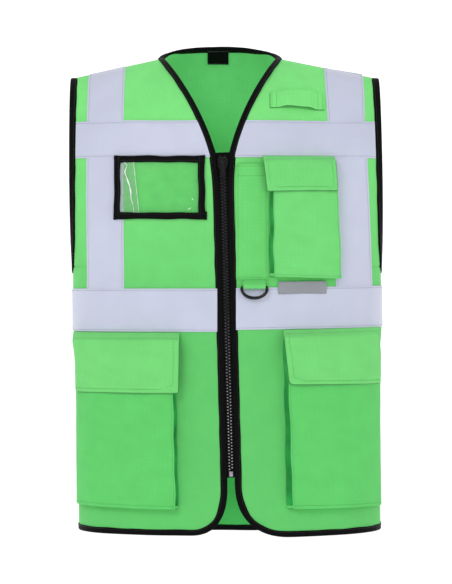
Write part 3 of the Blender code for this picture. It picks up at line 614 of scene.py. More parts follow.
def tube(name, rings, material, closed=False, angle=50.0):
    """A closed skin round a list of equal rings of points; closed joins the last ring to the first."""
    rings = np.asarray(rings)
    count, sides = rings.shape[:2]
    index = np.arange(count * sides).reshape(count, sides)
    here = index if closed else index[:-1]
    there = np.roll(index, -1, axis=0) if closed else index[1:]
    faces = np.stack([here, np.roll(here, -1, 1), np.roll(there, -1, 1), there], -1).reshape(-1, 4)
    around, along = run_of(rings[0]), run_of(rings.mean(1))
    flat = np.stack(np.broadcast_arrays(around[None, :], along[:, None]), -1).reshape(-1, 2)
    points = rings.reshape(-1, 3)
    caps = []
    if not closed:
        ends = (index[0], index[-1][::-1])
        caps = np.concatenate([np.stack([np.full(sides, count * sides + k), np.roll(ring, -1), ring], -1)
                               for k, ring in enumerate(ends)])
        points = np.concatenate([points, rings[:1].mean(1), rings[-1:].mean(1)])
        flat = np.concatenate([flat, np.zeros((2, 2))])
    made = make(name, points, faces, material, flat, angle, caps)
    outward(made, points, faces)
    return made


def turns(count):
    """Angles at equal steps round a circle."""
    return np.linspace(0, 2 * np.pi, count, endpoint=False)


def cord(name, line, radius, material):
    """A round thread or rolled edge along a line of points."""
    along = unit(np.gradient(line, axis=0))
    out = unit(np.cross(along, np.array([0.05, 1.0, 0.03])))
    up = np.cross(out, along)
    rings = [line + out * math.cos(k) * radius + up * math.sin(k) * radius for k in turns(8)]
    return tube(name, np.stack(rings, 1), material, angle=80.0)


STITCH_SHARES = np.array([0.0, 0.25, 0.75, 1.0])                 # where its rings lie along a stitch
STITCH_RISE = np.array([-0.25, 0.8, 0.8, -0.25]) * 0.25 * MM      # how high each ring stands
STITCH_SWELL = np.array([0.45, 1.0, 1.0, 0.45])                   # and how thick it is
STITCH_SIDES = 6


def sew(name, runs, material, pitch=3.1 * MM, length=2.3 * MM, radius=0.22 * MM, lift=0.10 * MM):
    """Rows of thread stitches along paths. Each run is (points, normals) along the seam."""
    all_points, all_faces = [], []
    start = 0
    for points, normals in runs:
        run = run_of(points)
        count = int(run[-1] / pitch)
        if count < 1:
            continue
        starts = (np.arange(count) + 0.5) * run[-1] / count - length / 2
        at = starts[:, None] + STITCH_SHARES * length
        centre = at_run(at, run, points)
        up = unit(at_run(at, run, normals))
        out = np.cross(up, unit(centre[:, -1] - centre[:, 0])[:, None, :])
        centre = centre + up * (STITCH_RISE + lift)[:, None]
        turn, swell = turns(STITCH_SIDES)[:, None], STITCH_SWELL[:, None, None]
        rings = (centre[:, :, None] + out[:, :, None] * np.cos(turn) * radius * swell
                 + up[:, :, None] * np.sin(turn) * radius * 0.8 * swell)
        index = np.arange(count * 4 * STITCH_SIDES).reshape(count, 4, STITCH_SIDES) + start
        after = np.roll(index, -1, 2)
        skin = np.stack([index[:, :-1], after[:, :-1], after[:, 1:], index[:, 1:]], -1)
        all_faces.append(skin.reshape(-1, 4))
        for end in (index[:, 0, ::-1], index[:, -1]):
            all_faces += [end[:, [0, 1, 2, 3]], end[:, [0, 3, 4, 5]]]
        all_points.append(rings.reshape(-1, 3))
        start += count * 4 * STITCH_SIDES
    return make(name, np.concatenate(all_points), np.concatenate(all_faces), material, angle=70.0)


def spread(total, fine, margin, coarse):
    """Positions from 0 to total: closely spaced within margin of both ends, coarse between."""
    edge = np.arange(0, margin, fine)
    middle = np.linspace(margin, total - margin, max(int(round((total - 2 * margin) / coarse)), 1) + 1)
    return np.concatenate([edge, middle, total - edge[::-1]])


def nearest(positions, wanted):
    return int(np.argmin(np.abs(positions - wanted)))


# ---------------------------------------------------------------- back and front panels
FRONT_SHARES = np.concatenate([np.linspace(0, 0.16, 24)[:-1], np.linspace(0.16, 0.9, 56)[:-1],
                               np.linspace(0.9, 1, 14)])
BACK_SHARES = np.linspace(0, 1, 150)
HALF_THICK = 0.4 * MM


def front_rows(side):
    """Rows of x and z over one front: over the shoulder, down to the armpit, then down to the hem."""
    rows = []
    for angle in np.linspace(0, 90, 52):
        inner = NECK_X + side * NECK_HALF
        for _ in range(25):
            inner = float(front_edge(shoulder_z(1, inner, angle), side))
        outer = float(armhole_x(shoulder_z(1, side * 0.2095, angle), side))
        xs, _ = arc_x(1, float(shoulder_z(1, (inner + outer) / 2, angle)), inner, outer, FRONT_SHARES)
        rows.append((xs, shoulder_z(1, xs, angle)))
    knee_z = rows[-1][1]
    for part in np.linspace(0, 1, 24)[1:]:
        z = knee_z + (ARMPIT_Z - knee_z) * part
        inner, outer = float(front_edge(z[0], side)), float(armhole_x(z[-1], side))
        rows.append((arc_x(1, float(z[len(z) // 2]), inner, outer, FRONT_SHARES)[0], z))
    for part in np.linspace(0, 1, 100)[1:]:
        wanted = ARMPIT_Z + (HEM_Z - ARMPIT_Z) * part
        xs, _ = arc_x(1, wanted, float(front_edge(wanted, side)), float(side_x(wanted, side)), FRONT_SHARES)
        z = ARMPIT_Z + (hem_z(xs, side) - ARMPIT_Z) * part
        xs[0] = front_edge(z[0], side)
        xs[-1] = side_x(z[-1], side)
        rows.append((xs, z))
    return rows


def back_rows():
    """Rows of x and z over the back, from the neckline and shoulders to the hem."""
    rows = []
    for part in np.linspace(0, 1, 36):
        z_mid = float(shoulder_z(-1, 0.21, 90 * part))
        xs, _ = arc_x(-1, z_mid, float(armhole_x(z_mid, -1)), float(armhole_x(z_mid, 1)), BACK_SHARES)
        out = np.minimum(np.abs(xs - NECK_X) / NECK_HALF, 1.0)
        low = np.where(out < 1, 1.5 + 29 * np.sqrt(1 - out * out), 0.0)
        rows.append((xs, shoulder_z(-1, xs, low + (90 - low) * part)))
    knee_z = rows[-1][1]
    for part in np.linspace(0, 1, 44)[1:]:
        z = knee_z + (ARMPIT_Z - knee_z) * part
        edge = float(z[0])
        xs, _ = arc_x(-1, edge, float(armhole_x(edge, -1)), float(armhole_x(edge, 1)), BACK_SHARES)
        rows.append((xs, z))
    for part in np.linspace(0, 1, 92)[1:]:
        wanted = ARMPIT_Z + (BACK_HEM_Z + BACK_HEM_SWEEP - ARMPIT_Z) * part
        reach = half_width(wanted)
        xs, _ = arc_x(-1, wanted, side_x(wanted, -1), side_x(wanted, 1), BACK_SHARES)
        z = ARMPIT_Z + (back_hem_z(xs) - ARMPIT_Z) * part
        rows.append((centre_x(z) + (xs - centre_x(wanted)) / reach * half_width(z), z))
    return rows


def panel(name, node, side, rows):
    """One main panel. Gives it with the number of cells in its grid."""
    x, z = (np.array([row[k] for row in rows]) for k in (0, 1))
    made, _, _, _ = layer(name, node, side, x, z, HALF_THICK, -HALF_THICK, GREEN)
    return made, (x.shape[0] - 1) * (x.shape[1] - 1)


for side, word in SIDES:
    front, _ = panel("front_" + word + "_cloth", "front_panel_" + word, 1, front_rows(side))
back, cells = panel("back_cloth", "back_panel", -1, back_rows())
# The back's inner face takes the inside green with its painted shade.
second_look(back, np.arange(cells, 2 * cells), SHADED_INSIDE)

# ---------------------------------------------------------------- edge bindings
# Half the folded tape's section: how far in from the edge and how far out of the cloth, in mm.
HALF_RIM = [(7.0, 0.50), (6.9, 1.05), (6.2, 1.30), (3.5, 1.22), (1.0, 1.28), (-0.4, 1.05), (-1.05, 0.45)]
RIM = np.array(HALF_RIM + [(inward, -out) for inward, out in HALF_RIM[::-1]]) * MM
STATION_PITCH = 2.2 * MM
ABOVE_ARMPIT = 0.2 * MM                # where an armhole's binding starts
binding_runs = []


def path(*legs):
    """One edge path from legs, each (front or back, x, z)."""
    return tuple(np.concatenate([np.broadcast_to(leg[k], leg[2].shape) for leg in legs]) for k in range(3))


def frames(sides, x, z, inside, closed=False):
    """Point, normal and inward direction at even stations of an edge path."""
    place, up = np.zeros((len(x), 3)), np.zeros((len(x), 3))
    for side in (1, -1):
        pick = sides == side
        if pick.any():
            place[pick], up[pick] = lay(side, x[pick], z[pick])
    if closed:
        place, up = np.concatenate([place, place[:1]]), np.concatenate([up, up[:1]])
    run = run_of(place)
    at = np.linspace(0, run[-1], max(int(run[-1] / STATION_PITCH), 20) + 1)
    if closed:
        at = at[:-1]
    kernel = np.hanning(9)
    kernel /= kernel.sum()

    def even(values):
        """A moving average that keeps the ends of an open path."""
        if closed:
            pad = np.concatenate([values[-4:], values, values[:4]])
        else:
            before, after = 2 * values[:1] - values[4:0:-1], 2 * values[-1:] - values[-2:-6:-1]
            pad = np.concatenate([before, values, after])
        return np.stack([np.convolve(pad[:, k], kernel, "valid") for k in range(3)], -1)

    place, up = even(at_run(at, run, place)), even(at_run(at, run, up))
    along = np.roll(place, -1, 0) - np.roll(place, 1, 0) if closed else np.gradient(place, axis=0)
    along = unit(along)
    up = unit(up - along * (up * along).sum(1, keepdims=True))
    inward = np.cross(up, along)
    inward[((inside(place) - place) * inward).sum(1) < 0] *= -1
    return place, up, inward


def plain(value):
    """One width or thickness all along an edge."""
    return lambda place: np.full(len(place), value)


def bind(name, node, station, closed=False, grow=plain(1.0), thick=plain(1.0)):
    """A folded tape over an edge. grow and thick scale its width and thickness at each station."""
    place, up, inward = station
    grow, thick = grow(place), thick(place)
    run = run_of(place)
    still = 0 * run
    ripple = 0.16 * MM * PUCKER_SLOW(run, still) + 0.10 * MM * PUCKER(run, 0.3 + still)
    wide = grow * (1 + 0.035 * PUCKER_SLOW(run * 0.6, 1.0 + still))
    rings = []
    for reach, out in RIM:
        swell = np.where(abs(out) > 0.6 * MM, np.sign(out) * np.abs(ripple), 0.0)
        across = reach * wide if reach > 0 else reach + still
        rings.append(place + inward * across[:, None] + up * (out * thick + swell)[:, None])
    made = tube(name, np.stack(rings, 1), BINDING, closed)
    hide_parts(node)
    for sign in (1, -1):
        height = sign * (1.24 * MM * thick + np.abs(ripple))
        line = place + inward * (5.2 * MM * grow)[:, None] + up * height[:, None]
        binding_runs.append((line, up * sign))


def neck_leg(side, shares):
    """The V neck's edge on one front, from its foot at share 0 to the shoulder line at share 1."""
    foot = V_Z + 0.004
    z = foot - foot * shares ** 0.8
    return 1, front_edge(z, side), z


def neck_inside(place):
    """A point inside the cloth for each point of the neckline."""
    behind = (place[:, 1] > 0)[:, None]
    aside = place[:, :1] - NECK_X
    return place + np.concatenate([aside, 0.06 * behind, np.full((len(place), 1), -0.08)], 1)


def behind_neck(amount):
    """1 at the front, growing by an amount over the neck's back edge."""
    return lambda place: 1 + amount * smooth((place[:, 1] - 0.004) / 0.03)


def armhole_rise(side, face, top_z, angles):
    """An armhole's edge on one face, between the armpit at angle 0 and top_z at a quarter turn."""
    z = ARMPIT_Z + ABOVE_ARMPIT + (top_z - ARMPIT_Z) * (1 - np.cos(angles))
    return face, armhole_x(z, side), z


def armhole_top(side, face, angles):
    """An armhole's edge over the shoulder, at angles in degrees down from the shoulder line."""
    x = armhole_x(shoulder_z(face, side * ARMHOLE_REACH, angles), side)
    return face, x, shoulder_z(face, x, angles)


def armhole_inside(place):
    """A point inside the cloth for each point of an armhole."""
    low = (place[:, 2] < ARMPIT_Z + 0.03)[:, None]
    still = 0 * place[:, 0]
    below = place + np.stack([still, np.copysign(0.01, place[:, 1]), still - 0.03], 1)
    return np.where(low, below, np.stack([still, place[:, 1] * 1.2, place[:, 2]], 1))


def armhole_grow(place):
    """Wider in front, except at the armpit."""
    return 1.12 + 0.26 * smooth((0.02 - place[:, 1]) / 0.04) * smooth((place[:, 2] - ARMPIT_Z) / 0.04)


def front_path(side):
    """A front's free edge beside the zip, its rounded corner and its hem, to the side seam."""
    edge = float(front_edge(HEM_Z, side))
    quarter = np.linspace(0, np.pi / 2, 70)[1:]
    corner = edge + side * CORNER[side][0] * (1 - np.cos(quarter) ** (2 / CORNER_POWER))
    z = np.linspace(V_Z + 0.0075, float(hem_z(edge, side)), 110)
    hem, _ = arc_x(1, HEM_Z, corner[-1], side_x(HEM_Z, side), np.linspace(0, 1, 90)[1:])
    low = hem_z(hem, side)
    hem = centre_x(low) + (hem - centre_x(HEM_Z)) / half_width(HEM_Z) * half_width(low)
    return path((1, front_edge(z, side), z), (1, corner, hem_z(corner, side)), (1, hem, low))


def back_hem_path():
    x, _ = arc_x(-1, BACK_HEM_Z, side_x(BACK_HEM_Z, -1), side_x(BACK_HEM_Z, 1), np.linspace(0, 1, 200))
    z = back_hem_z(x)
    x = centre_x(z) + (x - centre_x(BACK_HEM_Z)) / half_width(BACK_HEM_Z) * half_width(z)
    return path((-1, x, z))


shares = np.linspace(0, 1, 60)
across = np.linspace(0, np.pi, 80)
neck_x = NECK_X - NECK_HALF * np.cos(across)
neck_back = (-1, neck_x, shoulder_z(-1, neck_x, 1.0 + 29.5 * np.sin(across)))
neck_path = path(neck_leg(-1, shares[:-1]), neck_back, neck_leg(1, shares[::-1][1:]))
bind("neck_edge_tape", "neck_binding", frames(*neck_path, neck_inside),
     grow=behind_neck(0.34), thick=behind_neck(0.5))
for side, word in SIDES:
    quarter = np.linspace(0, np.pi / 2, 70)
    front_rise = armhole_rise(side, 1, float(shoulder_z(1, side * ARMHOLE_REACH, 60)), quarter)
    back_top = armhole_top(side, -1, np.linspace(1, 86, 50))
    back_rise = armhole_rise(side, -1, back_top[2][-1], quarter[::-1][1:-1])
    hole = path(front_rise, armhole_top(side, 1, np.linspace(58, 0, 40)), back_top, back_rise)
    bind("armhole_edge_tape_" + word, "armhole_binding_" + word,
         frames(*hole, armhole_inside, closed=True), closed=True, grow=armhole_grow, thick=plain(1.25))
    inside_point = np.array([side * 0.12, -0.12, -0.45])
    bind("front_edge_tape_" + word, "front_binding_" + word,
         frames(*front_path(side), lambda place: inside_point + 0 * place),
         grow=lambda place: 1 + 0.17 * smooth((place[:, 2] + 0.625) / 0.03))
bind("back_hem_tape", "back_hem_binding",
     frames(*back_hem_path(), lambda place: place + np.array([0, 0, 1.0])))
sew("binding_stitches", binding_runs, BLACK_THREAD, lift=0.05 * MM)

# ---------------------------------------------------------------- reflective tapes
TAPE_SEAM = 2.4 * MM                   # from a tape's edge to its row of stitches
LEVEL_TAPE_HEIGHT = 1.6 * MM           # of a level tape over the cloth; it crosses the upright ones
BRACE_HEIGHT = 0.9 * MM
CHEST_MIDDLE = -0.11                   # a height within the chest tape
WAIST_MIDDLE = -0.34                   # and one within the waist tape
CHEST_FROM_EDGE = 7.6 * MM             # gaps that keep the tapes' ends clear of the bindings' edges
CHEST_FROM_ARMHOLE = 9.0 * MM
WAIST_FROM_EDGE = 6.6 * MM
tape_runs = []


def tape(name, node, side, x, z, across, height):
    """A reflective tape from grids of x and z. across is the axis that runs over its width."""
    top, _ = lay(side, x, z)
    uv = lengths_uv(top)
    if across == 0:
        over, run, width = uv[..., 1], uv[..., 0], uv[-1:, :, 1]
    else:
        over, run, width = uv[..., 0], uv[..., 1], uv[:, -1:, 0]
    d = np.minimum(over, width - over)
    half = np.sign(over - width / 2)
    drawn = 0.26 * MM * PUCKER(run, half * 3.0) * np.exp(-((d - TAPE_SEAM) / (5 * MM)) ** 2)
    slow = 0.22 * MM * PUCKER_SLOW(run, half * 2.0 + d * 10) * np.exp(-d / (16 * MM))
    sunk = 0.30 * MM * bump(d - TAPE_SEAM, 0.9 * MM) + 0.28 * MM * np.exp(-d / (0.35 * MM))
    lift = height + drawn + slow - sunk
    made, upper, _, normal = layer(name, node, side, x, z, lift + 0.30 * MM, lift - 0.25 * MM, SILVER, uv)
    return upper, normal


def brace(word, side, x_from, x_to, drift):
    """An upright tape from the shoulder to the waist tape. drift is how far it leans to the left below."""
    wide = abs(x_to - x_from)
    cols = spread(wide, 0.8 * MM, 5 * MM, 5 * MM) / wide
    angles = np.linspace(0.4, 90, 60)
    steps = np.linspace(0, 1, 42)[1:]
    x = np.repeat((x_from + (x_to - x_from) * cols)[None], len(angles) + len(steps), 0)
    z = shoulder_z(side, x[:len(angles)], angles[:, None])
    z = np.concatenate([z, z[-1:] + (WAIST_TOP - 0.006 - z[-1:]) * steps[:, None]])
    x = x + drift * np.clip((-0.035 - z) / 0.2775, 0.0, 1.0)
    if drift > 0.005:
        x = x + cols * (2.0 + 3.0 * smooth((z + 0.10) / 0.07)) * MM
    name = "brace_tape_" + ("front_" if side > 0 else "back_") + word
    upper, normal = tape(name + "_silver", name, side, x, z, 1, BRACE_HEIGHT)
    for place in (TAPE_SEAM, wide - TAPE_SEAM):
        column = nearest(cols * wide, place)
        tape_runs.append((upper[:, column], normal[:, column]))


def band(node, side, x_from, x_to, top, bottom, flat):
    """A level tape. x_from and x_to are functions of the share down it, top and bottom of that along it."""
    tall = float(abs(top(0.5) - bottom(0.5)))
    downs = spread(tall, 0.8 * MM, 5 * MM, 5 * MM) / tall
    reach = abs(float(x_to(0.5)) - float(x_from(0.5)))
    shares = np.linspace(0, 1, max(int(reach * 1.25 / (3.0 * MM)), 30))
    shares = shares - 0.85 * np.sin(2 * np.pi * shares) / (2 * np.pi)
    xs, zs = [], []
    for down in downs:
        z = top(shares) * (1 - down) + bottom(shares) * down
        middle = float(z[len(z) // 2])
        row, _ = arc_x(side, middle, float(x_from(down)), float(x_to(down)), shares)
        xs.append(centre_x(z) + (row - centre_x(middle)) / half_width(middle) * half_width(z))
        zs.append(z)
    upper, normal = tape(node + "_silver", node, side, np.array(xs), np.array(zs), 0, LEVEL_TAPE_HEIGHT)
    for place in (TAPE_SEAM, tall - TAPE_SEAM):
        row = nearest(downs * tall, place)
        tape_runs.append((upper[row], normal[row]))


def chest_z(down):
    return CHEST_TOP + (CHEST_BOTTOM - CHEST_TOP) * down


def waist_z(base, rise):
    return lambda t: base + rise * t


def lifted_end(base, rise):
    """A level line that rises over its last quarter."""
    return lambda t: base + rise * smooth((t - 0.75) / 0.25)


PAST_SEAM = 0.25                       # beyond the side seam, so a tape runs right up to it
for face in (1, -1):
    brace("right", face, -0.1870, -0.1372, 0.001)
    brace("left", face, 0.1312, 0.1790, 0.0132 if face > 0 else 0.0)
for side, word in SIDES:
    rise, drop = (0.004, 0.0025) if side > 0 else (0.0, 0.0)
    band("chest_tape_" + word, 1, lambda down: front_edge(chest_z(down), side) + side * CHEST_FROM_EDGE,
         lambda down: armhole_x(chest_z(down), side) - side * CHEST_FROM_ARMHOLE,
         level(CHEST_TOP), level(CHEST_BOTTOM), (0.055, 0.180))
    band("waist_tape_" + word, 1, lambda down: front_edge(WAIST_MIDDLE, side) + side * WAIST_FROM_EDGE,
         level(side * PAST_SEAM), waist_z(WAIST_TOP + drop * 0.3, rise), waist_z(WAIST_BOTTOM + drop, rise),
         (0.058, 0.27))
back_ends = [level(armhole_x(CHEST_MIDDLE, side) - side * CHEST_FROM_EDGE) for side in (-1, 1)]
band("chest_tape_back", -1, *back_ends, level(CHEST_TOP), level(CHEST_BOTTOM), (0.055, 0.40))
band("waist_tape_back", -1, level(-PAST_SEAM), level(PAST_SEAM), lifted_end(WAIST_TOP, 0.0047),
     lifted_end(WAIST_BOTTOM, 0.0065), (0.057, 0.545))
sew("tape_stitches", tape_runs, GREY_THREAD)

# ---------------------------------------------------------------- zip
# Zip coordinates: across to the wearer's left, out of the cloth, up along the chain; 0 at the V's foot.
ZIP_LEAN = math.atan2(ZIP_BOTTOM_X - ZIP_TOP_X, V_Z - ZIP_BOTTOM_Z)
ZIP_LENGTH = (V_Z - ZIP_BOTTOM_Z) / math.cos(ZIP_LEAN)
ZIP_UP = np.array([-math.sin(ZIP_LEAN), 0, math.cos(ZIP_LEAN)])
ZIP_ACROSS = np.array([math.cos(ZIP_LEAN), 0, math.sin(ZIP_LEAN)])
ZIP_OUT = np.array([0, -1, 0])
ZIP_AT = np.array([float(zip_x(V_Z)), -DEPTH[1], V_Z])
PITCH = 4.1 * MM                       # of the teeth in one row
FIRST_TOOTH = -0.0200
LAST_GAP = 0.0085                      # from the last tooth to the chain's foot
AT_TOP = np.zeros((1, 3))
AT_FOOT = np.array([[0, 0, -ZIP_LENGTH]])


def zipped(points):
    """Zip coordinates to the frame's."""
    points = np.asarray(points, float)
    return ZIP_AT + points[..., :1] * ZIP_ACROSS + points[..., 1:2] * ZIP_OUT + points[..., 2:] * ZIP_UP


def lozenge(low, high, cut):
    """A block between two corners with its edges cut off, in mm, as points and quads."""
    (x0, y0, z0), (x1, y1, z1), cut = np.array(low) * MM, np.array(high) * MM, cut * MM
    rings = []
    for z, inset in ((z0, cut), (z0 + cut, 0.0), (z1 - cut, 0.0), (z1, cut)):
        a, b, c, d = x0 + inset, x1 - inset, y0 + inset, y1 - inset
        rings.append([(a + cut, c, z), (b - cut, c, z), (b, c + cut, z), (b, d - cut, z),
                      (b - cut, d, z), (a + cut, d, z), (a, d - cut, z), (a, c + cut, z)])
    index = np.arange(32).reshape(4, 8)
    after = np.roll(index, -1, 1)
    faces = [np.stack([index[:-1], after[:-1], after[1:], index[1:]], -1).reshape(-1, 4)]
    for ring in (index[0, ::-1], index[3]):
        faces += [ring[None, [0, 1, 2, 3]], ring[None, [0, 3, 4, 7]], ring[None, [4, 5, 6, 7]]]
    return np.array(rings).reshape(-1, 3), np.concatenate(faces)


def joined(*solids):
    """Several solids as one list of points and one of faces."""
    starts = np.cumsum([0] + [len(points) for points, _ in solids])
    faces = [faces + start for (_, faces), start in zip(solids, starts)]
    return np.concatenate([points for points, _ in solids]), np.concatenate(faces)


def zip_piece(name, solid, material, places=AT_TOP, mirror=1, node=None):
    """Copies of a small solid at places on the zip, as one piece; mirror -1 is the right-hand twin."""
    points, faces = solid
    points = (points * np.array([mirror, 1, 1]) + places[:, None, :]).reshape(-1, 3)
    faces = (faces + (np.arange(len(places)) * len(solid[0]))[:, None, None]).reshape(-1, 4)
    made = make(name, zipped(points), faces[:, ::mirror], material, angle=50.0)
    if node:
        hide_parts(node)


def zip_cloth(side, word):
    """The woven tape that carries one row of teeth, with a bead under them."""
    rows = np.linspace(0.004, -ZIP_LENGTH - 0.0016, 160)
    cols = np.array([-0.25, 0.5, 1.0, 1.3, 1.6, 2.0, 4.0, 7.0, 11.0, 15.0]) * MM * side
    x, up = np.meshgrid(cols, rows)
    out = np.abs(x)
    bead = 0.25 * MM * bump(out - 1.8 * MM, 0.5 * MM) + 0.25 * MM
    under_front = np.where(out > 6 * MM, -1.75 * MM, -0.15 * MM)
    depth = under_front + 0.12 * MM * PUCKER_SLOW(x * 3, up)
    depth = depth - (1.5 + 0.3 * side) * MM * smooth((1.9 * MM - out) / (0.8 * MM))
    top, bottom = (zipped(np.stack([x, depth + face * bead, up], -1)) for face in (1, -1))
    made = slab("zip_cloth_" + word, top, bottom, WEB, np.stack([out, -up], -1))
    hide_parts("zip_tape_" + word)


def rounded(points, radius):
    """An outline with each corner rounded."""
    found = []
    for before, here, after in zip(np.roll(points, 1, 0), points, np.roll(points, -1, 0)):
        start = here + unit(before - here) * radius
        end = here + unit(after - here) * radius
        for t in np.linspace(0, 1, 5):
            found.append((1 - t) ** 2 * start + 2 * t * (1 - t) * here + t * t * end)
    return np.array(found)


def plate(name, corners, radius, low, high, cut, material):
    """A flat plate with rounded corners and bevelled rims. corners are (across, up); all in mm."""
    outline = rounded(np.array(corners) * MM, radius * MM)
    low, high, cut = low * MM, high * MM, cut * MM
    middle = outline.mean(0)
    rings = []
    for out, inset in ((low, cut), (low + cut, 0.0), (high - cut, 0.0), (high, cut)):
        scale = 1 - inset / np.linalg.norm(outline - middle, axis=1).mean()
        flat = middle + (outline - middle) * scale
        rings.append(np.stack([flat[:, 0], np.full(len(flat), out), flat[:, 1]], -1))
    return tube(name, zipped(np.array(rings)), material, angle=35.0)


def slider_arch():
    """The bridge on the slider that the pull hangs from."""
    rings = []
    for t in np.linspace(0, np.pi, 20):
        at = np.array([0.0, 4.2 + 3.4 * math.sin(t), -10.5 + 4.8 * math.cos(t)]) * MM
        along = unit(np.array([0.0, 3.4 * math.cos(t), -4.8 * math.sin(t)]))
        normal = np.array([0.0, -along[2], along[1]])
        rings.append([at + np.array([1.5 * MM * math.cos(a), 0, 0]) + normal * math.sin(a) * 0.6 * MM
                      for a in turns(10)])
    return tube("slider_arch", zipped(rings), SLIDER, angle=60.0)


TOOTH = joined(lozenge((1.3, -1.2, -1.15), (4.2, 1.45, 1.15), 0.38),
               lozenge((-1.55, -0.95, -0.85), (1.6, 1.25, 0.85), 0.42))
# Caps on the tooth heads that carry the painted highlight.
TIP = lozenge((1.15, 1.2, -0.62), (2.5, 1.75, 0.62), 0.15)
STOP = lozenge((1.2, -1.3, -4.6), (3.6, 1.6, -0.2), 0.3)
for side, word in SIDES:
    first = FIRST_TOOTH - (PITCH / 2 if side > 0 else 0.0)
    places = np.zeros((int((ZIP_LENGTH + first - LAST_GAP) / PITCH) + 1, 3))
    places[:, 2] = first - np.arange(len(places)) * PITCH
    zip_piece("zip_teeth_row_" + word, TOOTH, TEETH, places, side, "zip_teeth_" + word)
    zip_piece("zip_tooth_highlight_caps_" + word, TIP, TOOTH_HIGHLIGHT, places, side)
    zip_cloth(side, word)
    zip_piece("zip_stop_" + word, STOP, SLIDER, mirror=side, node="zip_top_stop_" + word)
pin = lozenge((-3.4, -1.3, 0), (-0.5, 1.4, 10.5), 0.35)
zip_piece("zip_pin", pin, SLIDER, AT_FOOT, node="zip_insert_pin")
box = joined(lozenge((-2.5, -1.7, -0.3), (2.7, 1.8, 6.6), 0.7),
             lozenge((-1.5, 1.6, 0.8), (1.7, 2.15, 5.4), 0.25))
zip_piece("zip_box", box, PIN, AT_FOOT, node="zip_retainer_box")
SHIELD = [(-7.0, -4.0), (-4.2, -2.6), (4.2, -2.6), (7.0, -4.0), (6.8, -13.0), (4.4, -18.4), (-4.4, -18.4),
          (-6.8, -13.0)]
TAB = [(-3.1, -6.2), (3.1, -6.2), (3.5, -27.5), (2.4, -30.0), (-2.4, -30.0), (-3.5, -27.5)]
GRIP = [(-2.0, -14.0), (2.0, -14.0), (2.2, -27.0), (-2.2, -27.0)]
face = plate("slider_face", SHIELD, 1.6, 3.0, 4.5, 0.45, SLIDER)
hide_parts("zip_slider")
for made in (face, plate("slider_rear", SHIELD, 1.6, -5.8, -4.6, 0.4, SLIDER), slider_arch()):
    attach(made, "slider")
pull = plate("pull_tab", TAB, 1.1, 5.4, 7.0, 0.35, SLIDER)
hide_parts("zip_pull")
for made in (pull, plate("pull_grip", GRIP, 0.9, 6.9, 7.35, 0.2, TEETH)):
    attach(made, "pull")

# ---------------------------------------------------------------- pockets
BAG_BASE = 2.0 * MM                    # height of a pocket's root over the cloth
FACE_ROWS = 56
FOOT_ROW = FACE_ROWS - 2               # where the stitches along a face's foot lie
FLAP_MARGIN = 4.8                      # mm from a flap's edge to its stitches
FLAP_ROOT = 2.4 * MM                   # height of a flap's seam over the cloth
FLAP_BEND = 16 * MM                    # how far down from the seam an opened flap bends
pocket_runs = []


def grid_normals(grid):
    """Outward normals of a grid of points on the garment's front."""
    normal = np.cross(np.gradient(grid, axis=1), np.gradient(grid, axis=0))
    normal /= np.maximum(np.linalg.norm(normal, axis=-1, keepdims=True), 1e-12)
    return -normal if normal[..., 1].mean() > 0 else normal


